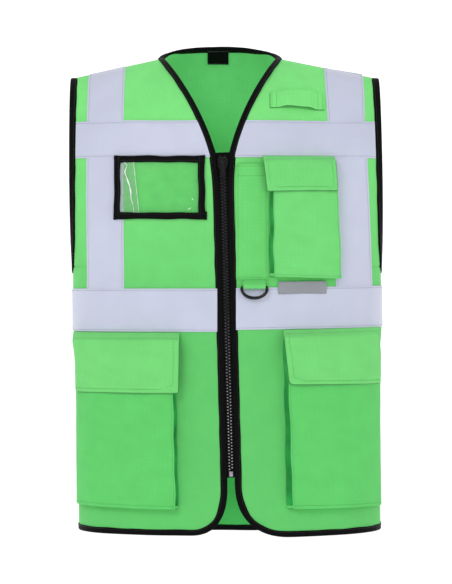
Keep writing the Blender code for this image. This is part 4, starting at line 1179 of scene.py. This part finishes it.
def bag(name, face_x, base_x, top, foot, rise, leans, look, belly=2.0):
    """A bellows pocket: a front face on gusset sides that fold inwards, open at the top. In mm.

    Each pair is for its two sides, the one at lower x first: face_x and base_x are the edges of the face and
    of the gussets' roots, top and foot the heights and rise the depths. leans says, for the face and for the
    roots, how far each side drifts down the pocket."""
    face_x, base_x, top, foot, rise = (np.array(pair) * MM for pair in (face_x, base_x, top, foot, rise))
    gusset = np.linspace(0, 1, 9)
    inner = spread(1.0, 0.012, 0.06, 0.022)
    x_arc, _ = arc_x(1, (top[0] + foot[0]) / 2, face_x[0], face_x[1], inner)
    # Each column has its share across the face and its share out from the root; each row the same, downwards.
    columns = [(0.0, t) for t in gusset[:-1]] + [(a, 1.0) for a in inner] + [(1.0, t) for t in gusset[-2::-1]]
    across, out = np.array(columns).T
    downs = [(b, 1.0) for b in np.linspace(0, 1, FACE_ROWS)] + [(1.0, t) for t in gusset[-2::-1]]
    down, low_out = (np.array(column)[:, None] for column in zip(*downs))
    on_face = out == 1.0
    low_side = across < 0.5
    edge, root = np.where(low_side, *face_x), np.where(low_side, *base_x)
    fold = np.where(low_side, 1, -1) * 4.5 * MM * np.sin(np.pi * out) * (0.4 + 0.6 * down)
    xs = np.where(on_face, np.interp(across, inner, x_arc), root + (edge - root) * out ** 0.7 + fold)
    face_lean, root_lean = (start + (end - start) * across for start, end in leans)
    xs = xs + (root_lean + (face_lean - root_lean) * out) * MM * (down - 0.5)
    z_top, z_foot, deep = (ends[0] + (ends[1] - ends[0]) * across for ends in (top, foot, rise))
    zs = z_top + (z_foot - z_top) * down
    zs = zs + np.where(low_out < 1, 3.5 * MM * np.sin(np.pi * low_out) + 1.5 * MM * (1 - low_out), 0.0)
    full = deep * (0.80 + 0.20 * np.sin(np.pi * np.minimum(down * 1.1, 1.0)) ** 0.5)
    full = full + belly * MM * np.sin(np.pi * across) * np.sin(np.pi * (0.15 + 0.75 * down))
    lifts = BAG_BASE + (full - BAG_BASE) * np.minimum(out, low_out)
    first, last = len(gusset) - 1, len(across) - len(gusset)
    order = np.clip((np.arange(len(across)) - first) / (last - first), 0, 1)
    ripple = np.exp(-np.minimum(order, 1 - order) / 0.10) * smooth((0.175 - np.abs(xs)) / 0.02)
    xs = xs + 0.9 * MM * ripple * PUCKER_SLOW(zs * 0.42, 0 * zs + np.sign(order - 0.5) * 5)
    lifts = lifts + 0.45 * MM * FINE[1](xs * 1.6 + 3, zs * 1.6)
    lifts = lifts + 0.7 * MM * SOFT[1](xs * 1.5 + 1, zs * 1.5 + 2)
    xs = placed(1, xs, zs, lifts)
    outer, _ = lay(1, xs, zs, lifts)
    normal = grid_normals(outer)
    made = slab(name + "_cloth", outer, outer - normal * 0.7 * MM, look)
    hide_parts(name)
    cells = outer.shape[1] - 1
    column = np.arange((outer.shape[0] - 1) * cells) % cells
    # Painted shade: the gusset faces on the side towards the garment's middle take the dark gusset green.
    shaded_gusset_side = column < 5 if face_x[0] > 0 else column >= cells - 5
    second_look(made, np.nonzero(shaded_gusset_side)[0], GUSSET_SHADE)
    for line in (np.s_[:FACE_ROWS, first + 1], np.s_[:FACE_ROWS, last - 1], np.s_[FOOT_ROW, first + 1:last]):
        pocket_runs.append((outer[line], normal[line]))


def cover(name, corners, top_z, foot_z, rise, body, radius, look, top_margin=8.0):
    """A pocket flap: seamed to the front along its top, its free corners rounded, stitched round its rim.

    corners are the x of the top's two ends and of the foot's, top_z and foot_z heights as functions of the
    share across, rise how far it stands off at both sides; all in mm."""
    (top_low, top_high), (foot_low, foot_high) = np.array(corners) * MM
    tall = abs(foot_z(0.5) - top_z(0.5))
    near_seam = np.array([0, 0.8, 1.8, 3.2, 5.0, 6.6, 7.4, 8.0, 8.6, 9.4, 11, 14])
    near_foot = np.array([8.0, 6.5, 5.6, 5.0, 4.6, 4.0, 3.0, 2.0, 1.2, 0.6, 0.25, 0.0])
    downs = np.concatenate([near_seam, np.linspace(17, tall - 10, 16), tall - near_foot]) / tall
    wide = abs(foot_high - foot_low) / MM
    shares = spread(wide, 0.7, 7.0, 3.2) / wide
    margin, radius = FLAP_MARGIN * MM, radius * MM
    seam_z, deep = top_z(shares) * MM, (rise[0] + (rise[1] - rise[0]) * shares) * MM
    xs, zs, lifts, rims = [], [], [], []
    for down in downs:
        x_from, x_to = top_low + (foot_low - top_low) * down, top_high + (foot_high - top_high) * down
        middle_z = float(top_z(0.5) * (1 - down) + foot_z(0.5) * down) * MM
        row, reach = arc_x(1, middle_z, x_from, x_to, shares)
        from_edge = np.minimum(shares, 1 - shares) * reach
        cut = radius * (1 - np.sqrt(1 - (1 - np.minimum(from_edge / radius, 1.0)) ** 2))
        z_low = foot_z(shares) * MM + cut * 0.95
        z = seam_z * (1 - down) + z_low * down
        from_top = seam_z - z
        d = np.minimum(from_edge, z - z_low)
        full = deep + 1.6 * MM * np.sin(np.pi * shares) * np.sin(np.pi * np.clip(down, 0, 1) * 0.8)
        lift = FLAP_ROOT + (full - FLAP_ROOT) * smooth(from_top / (11 * MM)) ** 0.8
        lift = lift - 2.0 * MM * np.exp(-from_edge / (5 * MM)) * smooth(from_top / (9 * MM))
        sunk = 0.45 * MM * bump(d - margin, 0.9 * MM) + 0.55 * MM * bump(from_top - top_margin * MM, 1.1 * MM)
        drawn = 0.20 * MM * PUCKER(row * 0.8 + z, z + 0.4 * row) * bump(d - margin, 6 * MM)
        lift = lift - sunk + drawn + 0.5 * MM * FINE[1](row * 1.8, z * 1.8 + 2)
        xs.append(placed(1, row, z, lift))
        zs.append(z)
        lifts.append(lift)
        rims.append(np.minimum(d, from_top))
    xs, zs, lifts, rims = (np.array(rows) for rows in (xs, zs, lifts, rims))
    to_rim = 1 - np.clip(rims / (0.9 * MM), 0, 1)
    thin = 0.75 * MM * (1 - np.sqrt(np.clip(1 - to_rim ** 2, 0, 1)))
    upper, normal = lay(1, xs, zs, lifts + 0.8 * MM - thin)
    lower, _ = lay(1, xs, zs, lifts - 0.8 * MM + thin)
    made = slab(name + "_cloth", upper, lower, look, angle=60.0)
    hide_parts(name)
    half_way = (upper + lower) / 2
    start = nearest(downs * tall, 12.0)
    rim = np.concatenate([half_way[start:, 0], half_way[-1, 1:-1], half_way[:start - 1:-1, -1]])
    rim = rim - normal[-1].mean(0) * 0.7 * MM
    # A dark green cord tucked just under the flap's rim: a painted shadow, not a real seam.
    edge_shadow = cord(name + "_cloth_painted_shadow_cord", rim, 0.75 * MM, SEAM_SHADE)
    column = nearest(shares * wide, FLAP_MARGIN)
    row_low = len(downs) - 1 - nearest(near_foot[::-1], FLAP_MARGIN)
    row_top = nearest(downs * tall, top_margin)
    parts = (np.s_[row_top:row_low - 4, column], np.s_[row_low, column + 5:-column - 6],
             np.s_[row_low - 5:row_top:-1, -column - 1])
    round_rim = tuple(np.concatenate([grid[part] for part in parts]) for grid in (upper, normal))
    along_top = (upper[row_top, 2:-2], normal[row_top, 2:-2])
    threads = sew(name + "_cloth_stitches", [round_rim, along_top], GROOVE_SHADED_THREAD)
    z_stitch = float(top_z(0.5)) * MM - 0.5 * MM
    for piece in (made, threads, edge_shadow):
        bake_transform(piece, "vest", body, Vector((0, -0.11, z_stitch)), Vector((0, -0.11, z_stitch - FLAP_BEND)))


def fuzzy(pocket, kind, x_from, z_top, height, body=None):
    """A short strip of hook or loop tape with its pile, height mm over the cloth."""
    xs, _ = arc_x(1, z_top - 0.005, x_from, x_from + 0.032, np.linspace(0, 1, 60))
    x, z = np.meshgrid(xs, np.linspace(z_top, z_top - 0.010, 22))
    pile = 0.35 * MM * np.abs(np.sin(x * 2400) * np.sin(z * 2600))
    name = pocket + "_" + kind + "_tape"
    node = pocket + "_pocket_" + kind + "_strip"
    made, _, _, _ = layer(name, node, 1, x, z, height * MM + 0.5 * MM + pile, height * MM, HOOK)
    if body:
        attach(made, body)


def pen_pocket():
    """A flat pocket, a little open at its mouth."""
    x_from, x_to, top, foot = np.array([11.9, 54.7, -148.8, -300.5]) * MM
    cols, rows = spread(1.0, 0.02, 0.16, 0.05), spread(1.0, 0.006, 0.04, 0.02)
    across, down = np.meshgrid(cols, rows)
    x, z = x_from + (x_to - x_from) * across, top + (foot - top) * down
    wide, tall = x_to - x_from, top - foot
    side_seam, mouth_seam, rim_seam = 2.6 * MM, 16.5 * MM, 2.6 * MM
    mouth = (1.2 + 3.6 * np.exp(-down * 5)) * MM
    lift = 1.9 * MM + mouth * np.sin(np.pi * across) ** 0.8 * smooth((1 - down) / 0.08)
    lift = lift - 0.35 * MM * bump(np.minimum(across, 1 - across) * wide - side_seam, 0.9 * MM)
    lift = lift - 0.35 * MM * bump(down * tall - mouth_seam, 1.0 * MM) + 0.3 * MM * FINE[1](x * 2, z * 2)
    made, upper, _, normal = layer("pen_pocket_cloth", "pen_pocket", 1, x, z, lift + 0.4 * MM,
                                   lift - 0.35 * MM, PEN)
    column = nearest(cols * wide, side_seam)
    for line in (np.s_[:, column], np.s_[:, -column - 1], nearest(rows * tall, mouth_seam), -4,
                 nearest(rows * tall, rim_seam)):
        pocket_runs.append((upper[line], normal[line]))


for side, word in SIDES:
    z = np.linspace(ARMPIT_Z + 0.002, HEM_Z + 0.0045, 120)
    line, _ = lay(1, side_x(z, side), z)
    cord("side_seam_" + word, line * np.array([1, 0, 1]), 0.9 * MM, GREEN)
bag("right_pocket_bag", (-203.9, -70.4), (-205.5, -66.5), (-386.9, -386.9), (-600.6, -603.2), (7.5, 15.0),
    ((0.0, 4.9), (0.0, 4.4)), BAG)
bag("left_pocket_bag", (82.6, 207.0), (76.2, 205.3), (-380.3, -380.3), (-602.6, -602.6), (15.0, 7.5),
    ((8.0, 1.5), (4.6, 1.5)), BAG)
bag("phone_pocket_bag", (60.9, 147.5), (56.2, 148.5), (-150.8, -150.8), (-296.6, -299.2), (14.5, 14.5),
    ((0.6, 7.5), (-0.6, 7.5)), CHEST, belly=1.2)
cover("right_pocket_flap", ((-206.6, -63.0), (-205.0, -64.1)), level(-370.4), level(-449.6), (10.5, 18.5),
      "right_flap", 2.0, FLAP)
cover("left_pocket_flap", ((74.3, 203.4), (81.4, 208.1)), lambda t: -366.9 + 3.5 * t,
      lambda t: -438.3 - 0.5 * t, (18.5, 10.5), "left_flap", 7.0, FLAP, top_margin=5.2)
cover("phone_pocket_flap", ((47.4, 142.5), (53.0, 146.3)), level(-137.6), level(-184.2), (17.5, 17.5),
      "phone_flap", 1.5, CHEST, top_margin=6.6)
pen_pocket()
sew("pocket_stitches", pocket_runs, GROOVE_SHADED_THREAD)
for pocket, x_from, z_top, loop_height, hook_height in (("right", -0.147, -0.4205, 14.6, 15.6),
                                                        ("left", 0.123, -0.4180, 14.0, 15.2),
                                                        ("phone", 0.085, -0.1690, 14.8, 16.0)):
    fuzzy(pocket, "loop", x_from, z_top, loop_height)
    fuzzy(pocket, "hook", x_from, z_top, hook_height, pocket + "_flap")

# ---------------------------------------------------------------- microphone loop
def mic_loop():
    """A narrow strip on the left shoulder, sewn down at both ends and arched between."""
    x_from, x_to, top, foot = np.array([57.4, 129.3, -51.6, -72.5]) * MM
    length = 71                        # mm along the strip
    cols, rows = np.linspace(0, 1, 70), spread(1.0, 0.03, 0.2, 0.08)
    across, down = np.meshgrid(cols, rows)
    x, z = x_from + (x_to - x_from) * across, top + (foot - top) * down
    z = z - 0.8 * MM * down * np.sin(across * 2 * np.pi * 1.05 + 2.5) - 1.8 * MM * down * across
    inside = np.minimum(across * length - 9.5, length - 8.0 - across * length)
    arch = smooth(inside / 14) * (1.0 + 0.18 * np.sin(across * 9.0 + 0.6))
    from_end = np.minimum(across, 1 - across) * length
    lift = 1.5 * MM + 4.6 * MM * arch - 0.3 * MM * (bump(from_end - 2.0, 0.9) + bump(from_end - 8.5, 0.9))
    rim = 0.35 * MM * np.exp(-np.minimum(down, 1 - down) / 0.03)
    made, upper, lower, normal = layer("mic_loop_cloth", "mic_loop", 1, x, z, lift + 0.7 * MM - rim,
                                       lift - 0.6 * MM + rim, GREEN)
    # A dark green cord under the loop's lower edge: a painted shadow.
    low_edge = np.concatenate([lower[4:, 0], lower[-1, 1:]])
    cord("mic_loop_painted_shadow_cord", low_edge + np.array([-0.0002, 0, -0.0003]), 0.55 * MM, SEAM_SHADE)
    columns = [nearest(cols * length, place) for place in (2.0, 8.5, 62.5, 69.0)]
    sew("mic_loop_stitches", [(upper[:, column], normal[:, column]) for column in columns], GROOVE_SHADED_THREAD,
        pitch=2.6 * MM, length=2.0 * MM)


mic_loop()

# ---------------------------------------------------------------- identity window
WINDOW_FROM_X = -143.8 * MM
WINDOW_TO_X = -35.6 * MM
WINDOW_TOP = -142.9 * MM
WINDOW_FOOT = -214.1 * MM
FILM_TOP = -143.6 * MM
BULGE = 0.9 * MM                       # of the film at the window's middle
ACROSS_STRAP = np.array([-1, -0.97, -0.90, -0.78, -0.5, 0, 0.5, 0.78, 0.90, 0.97, 1])
window_runs = []


def strap(name, start, end, width, low, high, flare, stitched):
    """A folded edge strip of the window between two (x, z) points, in mm, its ends a little fuller.

    low and high are its heights over the cloth; stitched is where its stitches run, -1 to 1 across."""
    start, end, width = np.array(start) * MM, np.array(end) * MM, width * MM
    run = np.linalg.norm(end - start)
    way = (end - start) / run
    along, across = np.meshgrid(spread(1.0, 0.012, 0.08, 0.03), ACROSS_STRAP)
    at_start, at_end = np.exp(-along / 0.05), np.exp(-(1 - along) / 0.05)
    full = 1 + flare[0] * at_start + flare[1] * at_end
    full = full + 0.09 * PUCKER_SLOW(along * run * 0.6, np.sign(across) * 0.02 + start[1])
    x = start[0] + way[0] * run * along - way[1] * across * width / 2 * full
    z = start[1] + way[1] * run * along + way[0] * across * width / 2 * full
    edge = np.minimum(1 - np.abs(across), 0.35) / 0.35
    ends = np.minimum(np.minimum(along, 1 - along) * run / (1.6 * MM), 1.0)
    crown = np.sqrt(np.clip(1 - (1 - edge) ** 2, 0, 1)) * np.sqrt(np.clip(1 - (1 - ends) ** 2, 0, 1))
    height = (high - low) * MM * crown * (1 + 0.35 * at_start + 0.35 * at_end)
    height = height + 0.12 * MM * PUCKER_SLOW(along * run, across * 0.003)
    uv = np.stack([across * width / 2, along * run], -1)
    _, upper, _, normal = layer(name, "id_window_frame", 1, x, z, (low + 0.35) * MM + height, low * MM,
                                BINDING, uv)
    line = nearest(ACROSS_STRAP, stitched)
    window_runs.append((upper[line], normal[line]))


def bulge_across(x):
    """How far the film stands off across the window."""
    share = np.clip((x - WINDOW_FROM_X) / (WINDOW_TO_X - WINDOW_FROM_X), 0, 1)
    return BULGE * np.sin(np.pi * share)


def film(name, node, from_x, to_x, material, height):
    """A sheet of clear film between two edges, functions of z, height mm over the cloth."""
    shares = np.linspace(0, 1, 60)
    z = np.repeat(np.linspace(FILM_TOP, WINDOW_FOOT, 44)[:, None], len(shares), 1)
    x = from_x(z) * (1 - shares) + to_x(z) * shares
    down = np.clip((WINDOW_TOP - z) / (WINDOW_TOP - WINDOW_FOOT), 0, 1)
    lift = height * MM + bulge_across(x) * np.sin(np.pi * down) + 0.35 * MM * PUCKER_SLOW(x * 0.35, z * 0.35)
    layer(name, node, 1, x, z, lift + 0.12 * MM, lift - 0.12 * MM, material)


def strip_edge(z):
    """The leaning inner edge of the film's doubled strip."""
    return -122.7 * MM + 0.11 * (-145.5 * MM - z)


def crease(name, places, height, radius):
    """A sharp fold or glint in the clear film, through (x, z) places; all in mm. The raised tube stands for the
    fold; its near-white colour is a painted highlight.
    """
    places = np.array(places, float) * MM
    t = np.linspace(0, 1, 40)
    x, z = (np.interp(t, np.linspace(0, 1, len(places)), places[:, k]) for k in (0, 1))
    line, normal = lay(1, x, z, height * MM + bulge_across(x))
    out = np.cross(normal, unit(np.gradient(line, axis=0)))
    swell = radius * MM * (0.35 + 0.65 * np.abs(np.sin(t * 17.0 + 0.7)))
    swell = (swell * np.sqrt(np.clip(np.sin(np.pi * t), 0.05, 1)))[:, None]
    rings = [line + out * math.cos(k) * swell + normal * math.sin(k) * swell * 0.6 for k in turns(8)]
    tube(name, np.stack(rings, 1), FILM_HIGHLIGHT)


strap("window_edge_top", (-148.8, -142.0), (-29.0, -142.0), 8.6, 2.6, 4.2, (0.28, 0.30), -0.5)
strap("window_edge_foot", (-149.3, -216.1), (-26.4, -216.6), 8.8, 2.6, 4.2, (0.30, 0.32), 0.5)
strap("window_edge_right", (-144.4, -138.4), (-144.4, -220.4), 8.2, 3.0, 4.7, (0.26, 0.30), 0.5)
strap("window_edge_left", (-34.0, -137.9), (-32.8, -221.2), 8.8, 3.0, 4.7, (0.26, 0.34), -0.5)
sew("window_stitches", window_runs, BLACK_THREAD)
film("window_film", "id_window_film", level(-137.2 * MM), level(-36.9 * MM), FILM, 2.75)
film("window_film_strip", "id_window_side_strip", level(-143.1 * MM), strip_edge, FILM_STRIP, 3.35)
LONG_FOLD = [(-136.6, -145.3), (-131.0, -150.1), (-134.3, -159.2), (-131.0, -168.3), (-127.7, -177.4),
             (-126.0, -185.6), (-126.0, -193.0), (-123.2, -202.2), (-121.9, -212.1)]
crease("film_crease_highlight", LONG_FOLD, 3.7, 0.95)
crease("film_strip_edge_highlight", [(-122.7, -144.2), (-120.3, -166.6), (-117.8, -189.1), (-115.3, -212.1)], 3.6, 0.45)
crease("film_glint_a", [(-46.4, -193.8), (-44.1, -195.9)], 3.0, 0.7)
crease("film_glint_b", [(-51.4, -208.6), (-47.5, -205.9)], 3.0, 0.6)

# ---------------------------------------------------------------- ring, tab and labels
# The tab's section from its seam down round the ring's bar and back, (towards the cloth, up) in mm.
TAB_SECTION = np.array([(-5.2, 9.0), (-4.6, 9.0), (-2.6, 6.5), (1.2, 4.6), (3.0, 2.6), (3.5, 0.0),
                        (2.6, -2.5), (0.0, -3.5), (-2.4, -2.6), (-3.6, -0.4), (-5.4, 5.0), (-6.6, 8.6)]) * MM
BAR_HALF = 16.2
BOW_HALF, BOW_TOP, BOW_DROP = 16.6, 3.4, 12.0


def d_ring(centre):
    """A D of round wire hanging from its straight bar."""
    outline = [(x, 0.0) for x in (-BAR_HALF, -8, 0, 8, BAR_HALF)]
    for t in np.linspace(0, np.pi, 44):
        outline.append((BOW_HALF * math.cos(t), -BOW_TOP - BOW_DROP * math.sin(t)))
    outline = np.array(outline) * MM
    shares = np.linspace(0, 1, 4)[:-1, None]
    wire = np.concatenate([p * (1 - shares) + q * shares for p, q in zip(outline, np.roll(outline, -1, 0))])
    for _ in range(6):
        wire = 0.25 * np.roll(wire, 1, 0) + 0.5 * wire + 0.25 * np.roll(wire, -1, 0)
    along = unit(np.roll(wire, -1, 0) - np.roll(wire, 1, 0))
    out = np.stack([along[:, 1], -along[:, 0]], -1)
    rings = []
    for k in turns(16):
        flat = wire + out * math.cos(k) * 2.1 * MM
        y = np.full(len(flat), math.sin(k) * 1.8 * MM)
        rings.append(centre + np.stack([flat[:, 0], y, flat[:, 1]], -1))
    made = tube("ring_wire", np.stack(rings, 1), RING, closed=True, angle=80.0)
    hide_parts("d_ring")
    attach(made, "ring")


def ring_tab(centre):
    """The cloth tab folded round the ring's bar."""
    rings = []
    for x in spread(1.0, 0.02, 0.1, 0.06):
        section = TAB_SECTION * (1 - 0.10 * math.exp(-min(x, 1 - x) / 0.02))
        across = np.full(len(section), (29.6 * x - 14.8) * MM)
        out = -section[:, 0] - 0.2 * MM * math.sin(x * 9)
        rings.append(centre + np.stack([across, out, section[:, 1]], -1))
    made = tube("ring_tab_cloth", np.array(rings), GREEN, angle=70.0)
    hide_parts("d_ring_tab")


def label(name, side, x_from, x_to, top, foot, height, look):
    """A woven label sewn along its upper and lower edges. top and foot are functions; all in mm.

    Gives its two rows of stitches. On the back it lies on the inner face, so its lower side shows."""
    across, down = np.meshgrid(spread(1.0, 0.02, 0.1, 0.05), spread(1.0, 0.03, 0.18, 0.08))
    x = (x_from + (x_to - x_from) * across) * MM
    z = (top(across) * (1 - down) + foot(across) * down) * MM
    near_end = bump(across - 0.05, 0.02) + bump(1 - across - 0.05, 0.02)
    wave = 0.25 * MM * PUCKER_SLOW(x, z) - 0.25 * MM * near_end
    if side < 0:
        z = np.minimum(z, shoulder_z(-1, x, 31.5))
    lift = height * MM + wave
    high, low = lift + 0.3 * MM, lift - 0.3 * MM
    made, upper, lower, normal = layer(name + "_cloth", name, side, x, z, high, low, look)
    shown = upper if side > 0 else lower
    return [(shown[row], normal[row] * side) for row in (2, -3)]


joints = {joint["name"]: joint for joint in frame["record"]["behaviour"]["joints"]}
bar_at = np.array(joints["d_ring_swing"]["pos_m"])
d_ring(bar_at)
ring_tab(bar_at)
label_runs = label("side_label", 1, 67.3, 130.6, lambda t: -303.5 + 1.1 * t,
                   lambda t: -320.0 + 0.8 * t + 0.7 * np.sin(np.pi * t), 3.0, GREY_LABEL)
label_runs += label("neck_label", -1, -26.8, 2.0, level(18.2), level(0.2), -1.6, LABEL)
sew("label_stitches", label_runs, GREY_THREAD, pitch=2.4 * MM, length=1.7 * MM, radius=0.16 * MM)

# ---------------------------------------------------------------- studio
FLOOR_Z = -1.05
WALL_RADIUS = 14.0
WALL_TURN = 2.1                        # radius with which the floor turns up into the wall
WALL_TOP = 10.7
STAGE_SIDES = 96
AIM = (0, 0, -0.3)                     # what the lights point at


def paper_look(name, bright_back, bright_front):
    """Pale studio paper that glows a little, more so behind the garment than in front of it."""
    look = Look(name, 0.9, Specular_IOR_Level=0.0)
    look.shader.inputs["Emission Color"].default_value = (1, 1, 1, 1)
    glow = look.span(look.place("Y"), -5.0, 1.5, bright_front, bright_back)
    look.feed(look.shader.inputs["Emission Strength"], glow)
    return look.done(look.tones(look.noise(3.0), (0.5, 0.5, 0.5), 0.98, 1.02, (0.0, 1.0)))


def round_stage():
    """A round floor that turns up into a wall, wide enough for a camera anywhere round the garment."""
    start = WALL_RADIUS - WALL_TURN
    bend = [(start + WALL_TURN * math.sin(t), FLOOR_Z + WALL_TURN - WALL_TURN * math.cos(t))
            for t in np.linspace(0, np.pi / 2, 20)]
    floor = [(0.0002, FLOOR_Z), (3.0, FLOOR_Z), bend[0]]
    wall = bend + [(WALL_RADIUS, WALL_TOP)]
    for name, profile, back, front in (("studio_floor", floor, 0.70, 0.62),
                                       ("studio_wall", wall, 0.82, 0.16)):
        points = [(r * math.cos(t), r * math.sin(t), z) for r, z in profile for t in turns(STAGE_SIDES)]
        index = np.arange(len(points)).reshape(len(profile), STAGE_SIDES)
        after = np.roll(index, -1, 1)
        faces = np.stack([index[:-1], index[1:], after[1:], after[:-1]], -1).reshape(-1, 4)
        make(name, points, faces, paper_look(name + "_paper", back, front))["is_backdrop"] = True


def lamp(name, place, size, power):
    """A soft area light in watts."""
    light = bpy.data.lights.new(name, "AREA")
    light.shape = "RECTANGLE"
    light.size, light.size_y = size
    light.energy = power
    made = in_scene(name, light)
    made.location = place
    made.rotation_euler = (Vector(AIM) - Vector(place)).to_track_quat("-Z", "Y").to_euler()
    made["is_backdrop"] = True


def surroundings(strength):
    """Even white light from all round."""
    world = bpy.data.worlds.new("studio")
    bpy.context.scene.world = world
    world.use_nodes = True
    background = world.node_tree.nodes["Background"]
    background.inputs["Color"].default_value = (1, 1, 1, 1)
    background.inputs["Strength"].default_value = strength


def front_camera():
    """A long lens 4 m in front, level with the middle of the garment."""
    camera = bpy.data.cameras.new("camera")
    camera.lens = 181.3
    camera.sensor_width = 36.0
    view = in_scene("camera", camera)
    view.location = (-0.00136, -4.0, -0.317)
    view.rotation_euler = (math.pi / 2, 0, 0)
    bpy.context.scene.camera = view


round_stage()
lamp("key_light", (-1.6, -3.4, 1.9), (1.8, 1.8), 44)
lamp("fill_light", (2.2, -3.2, 0.9), (2.4, 2.4), 20)
lamp("top_light", (0, 0.2, 2.6), (2.5, 2.0), 18)
surroundings(0.36)
front_camera()
bpy.context.scene.view_settings.view_transform = "Standard"
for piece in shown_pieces():
    if not body_of(piece):
        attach(piece, "vest")
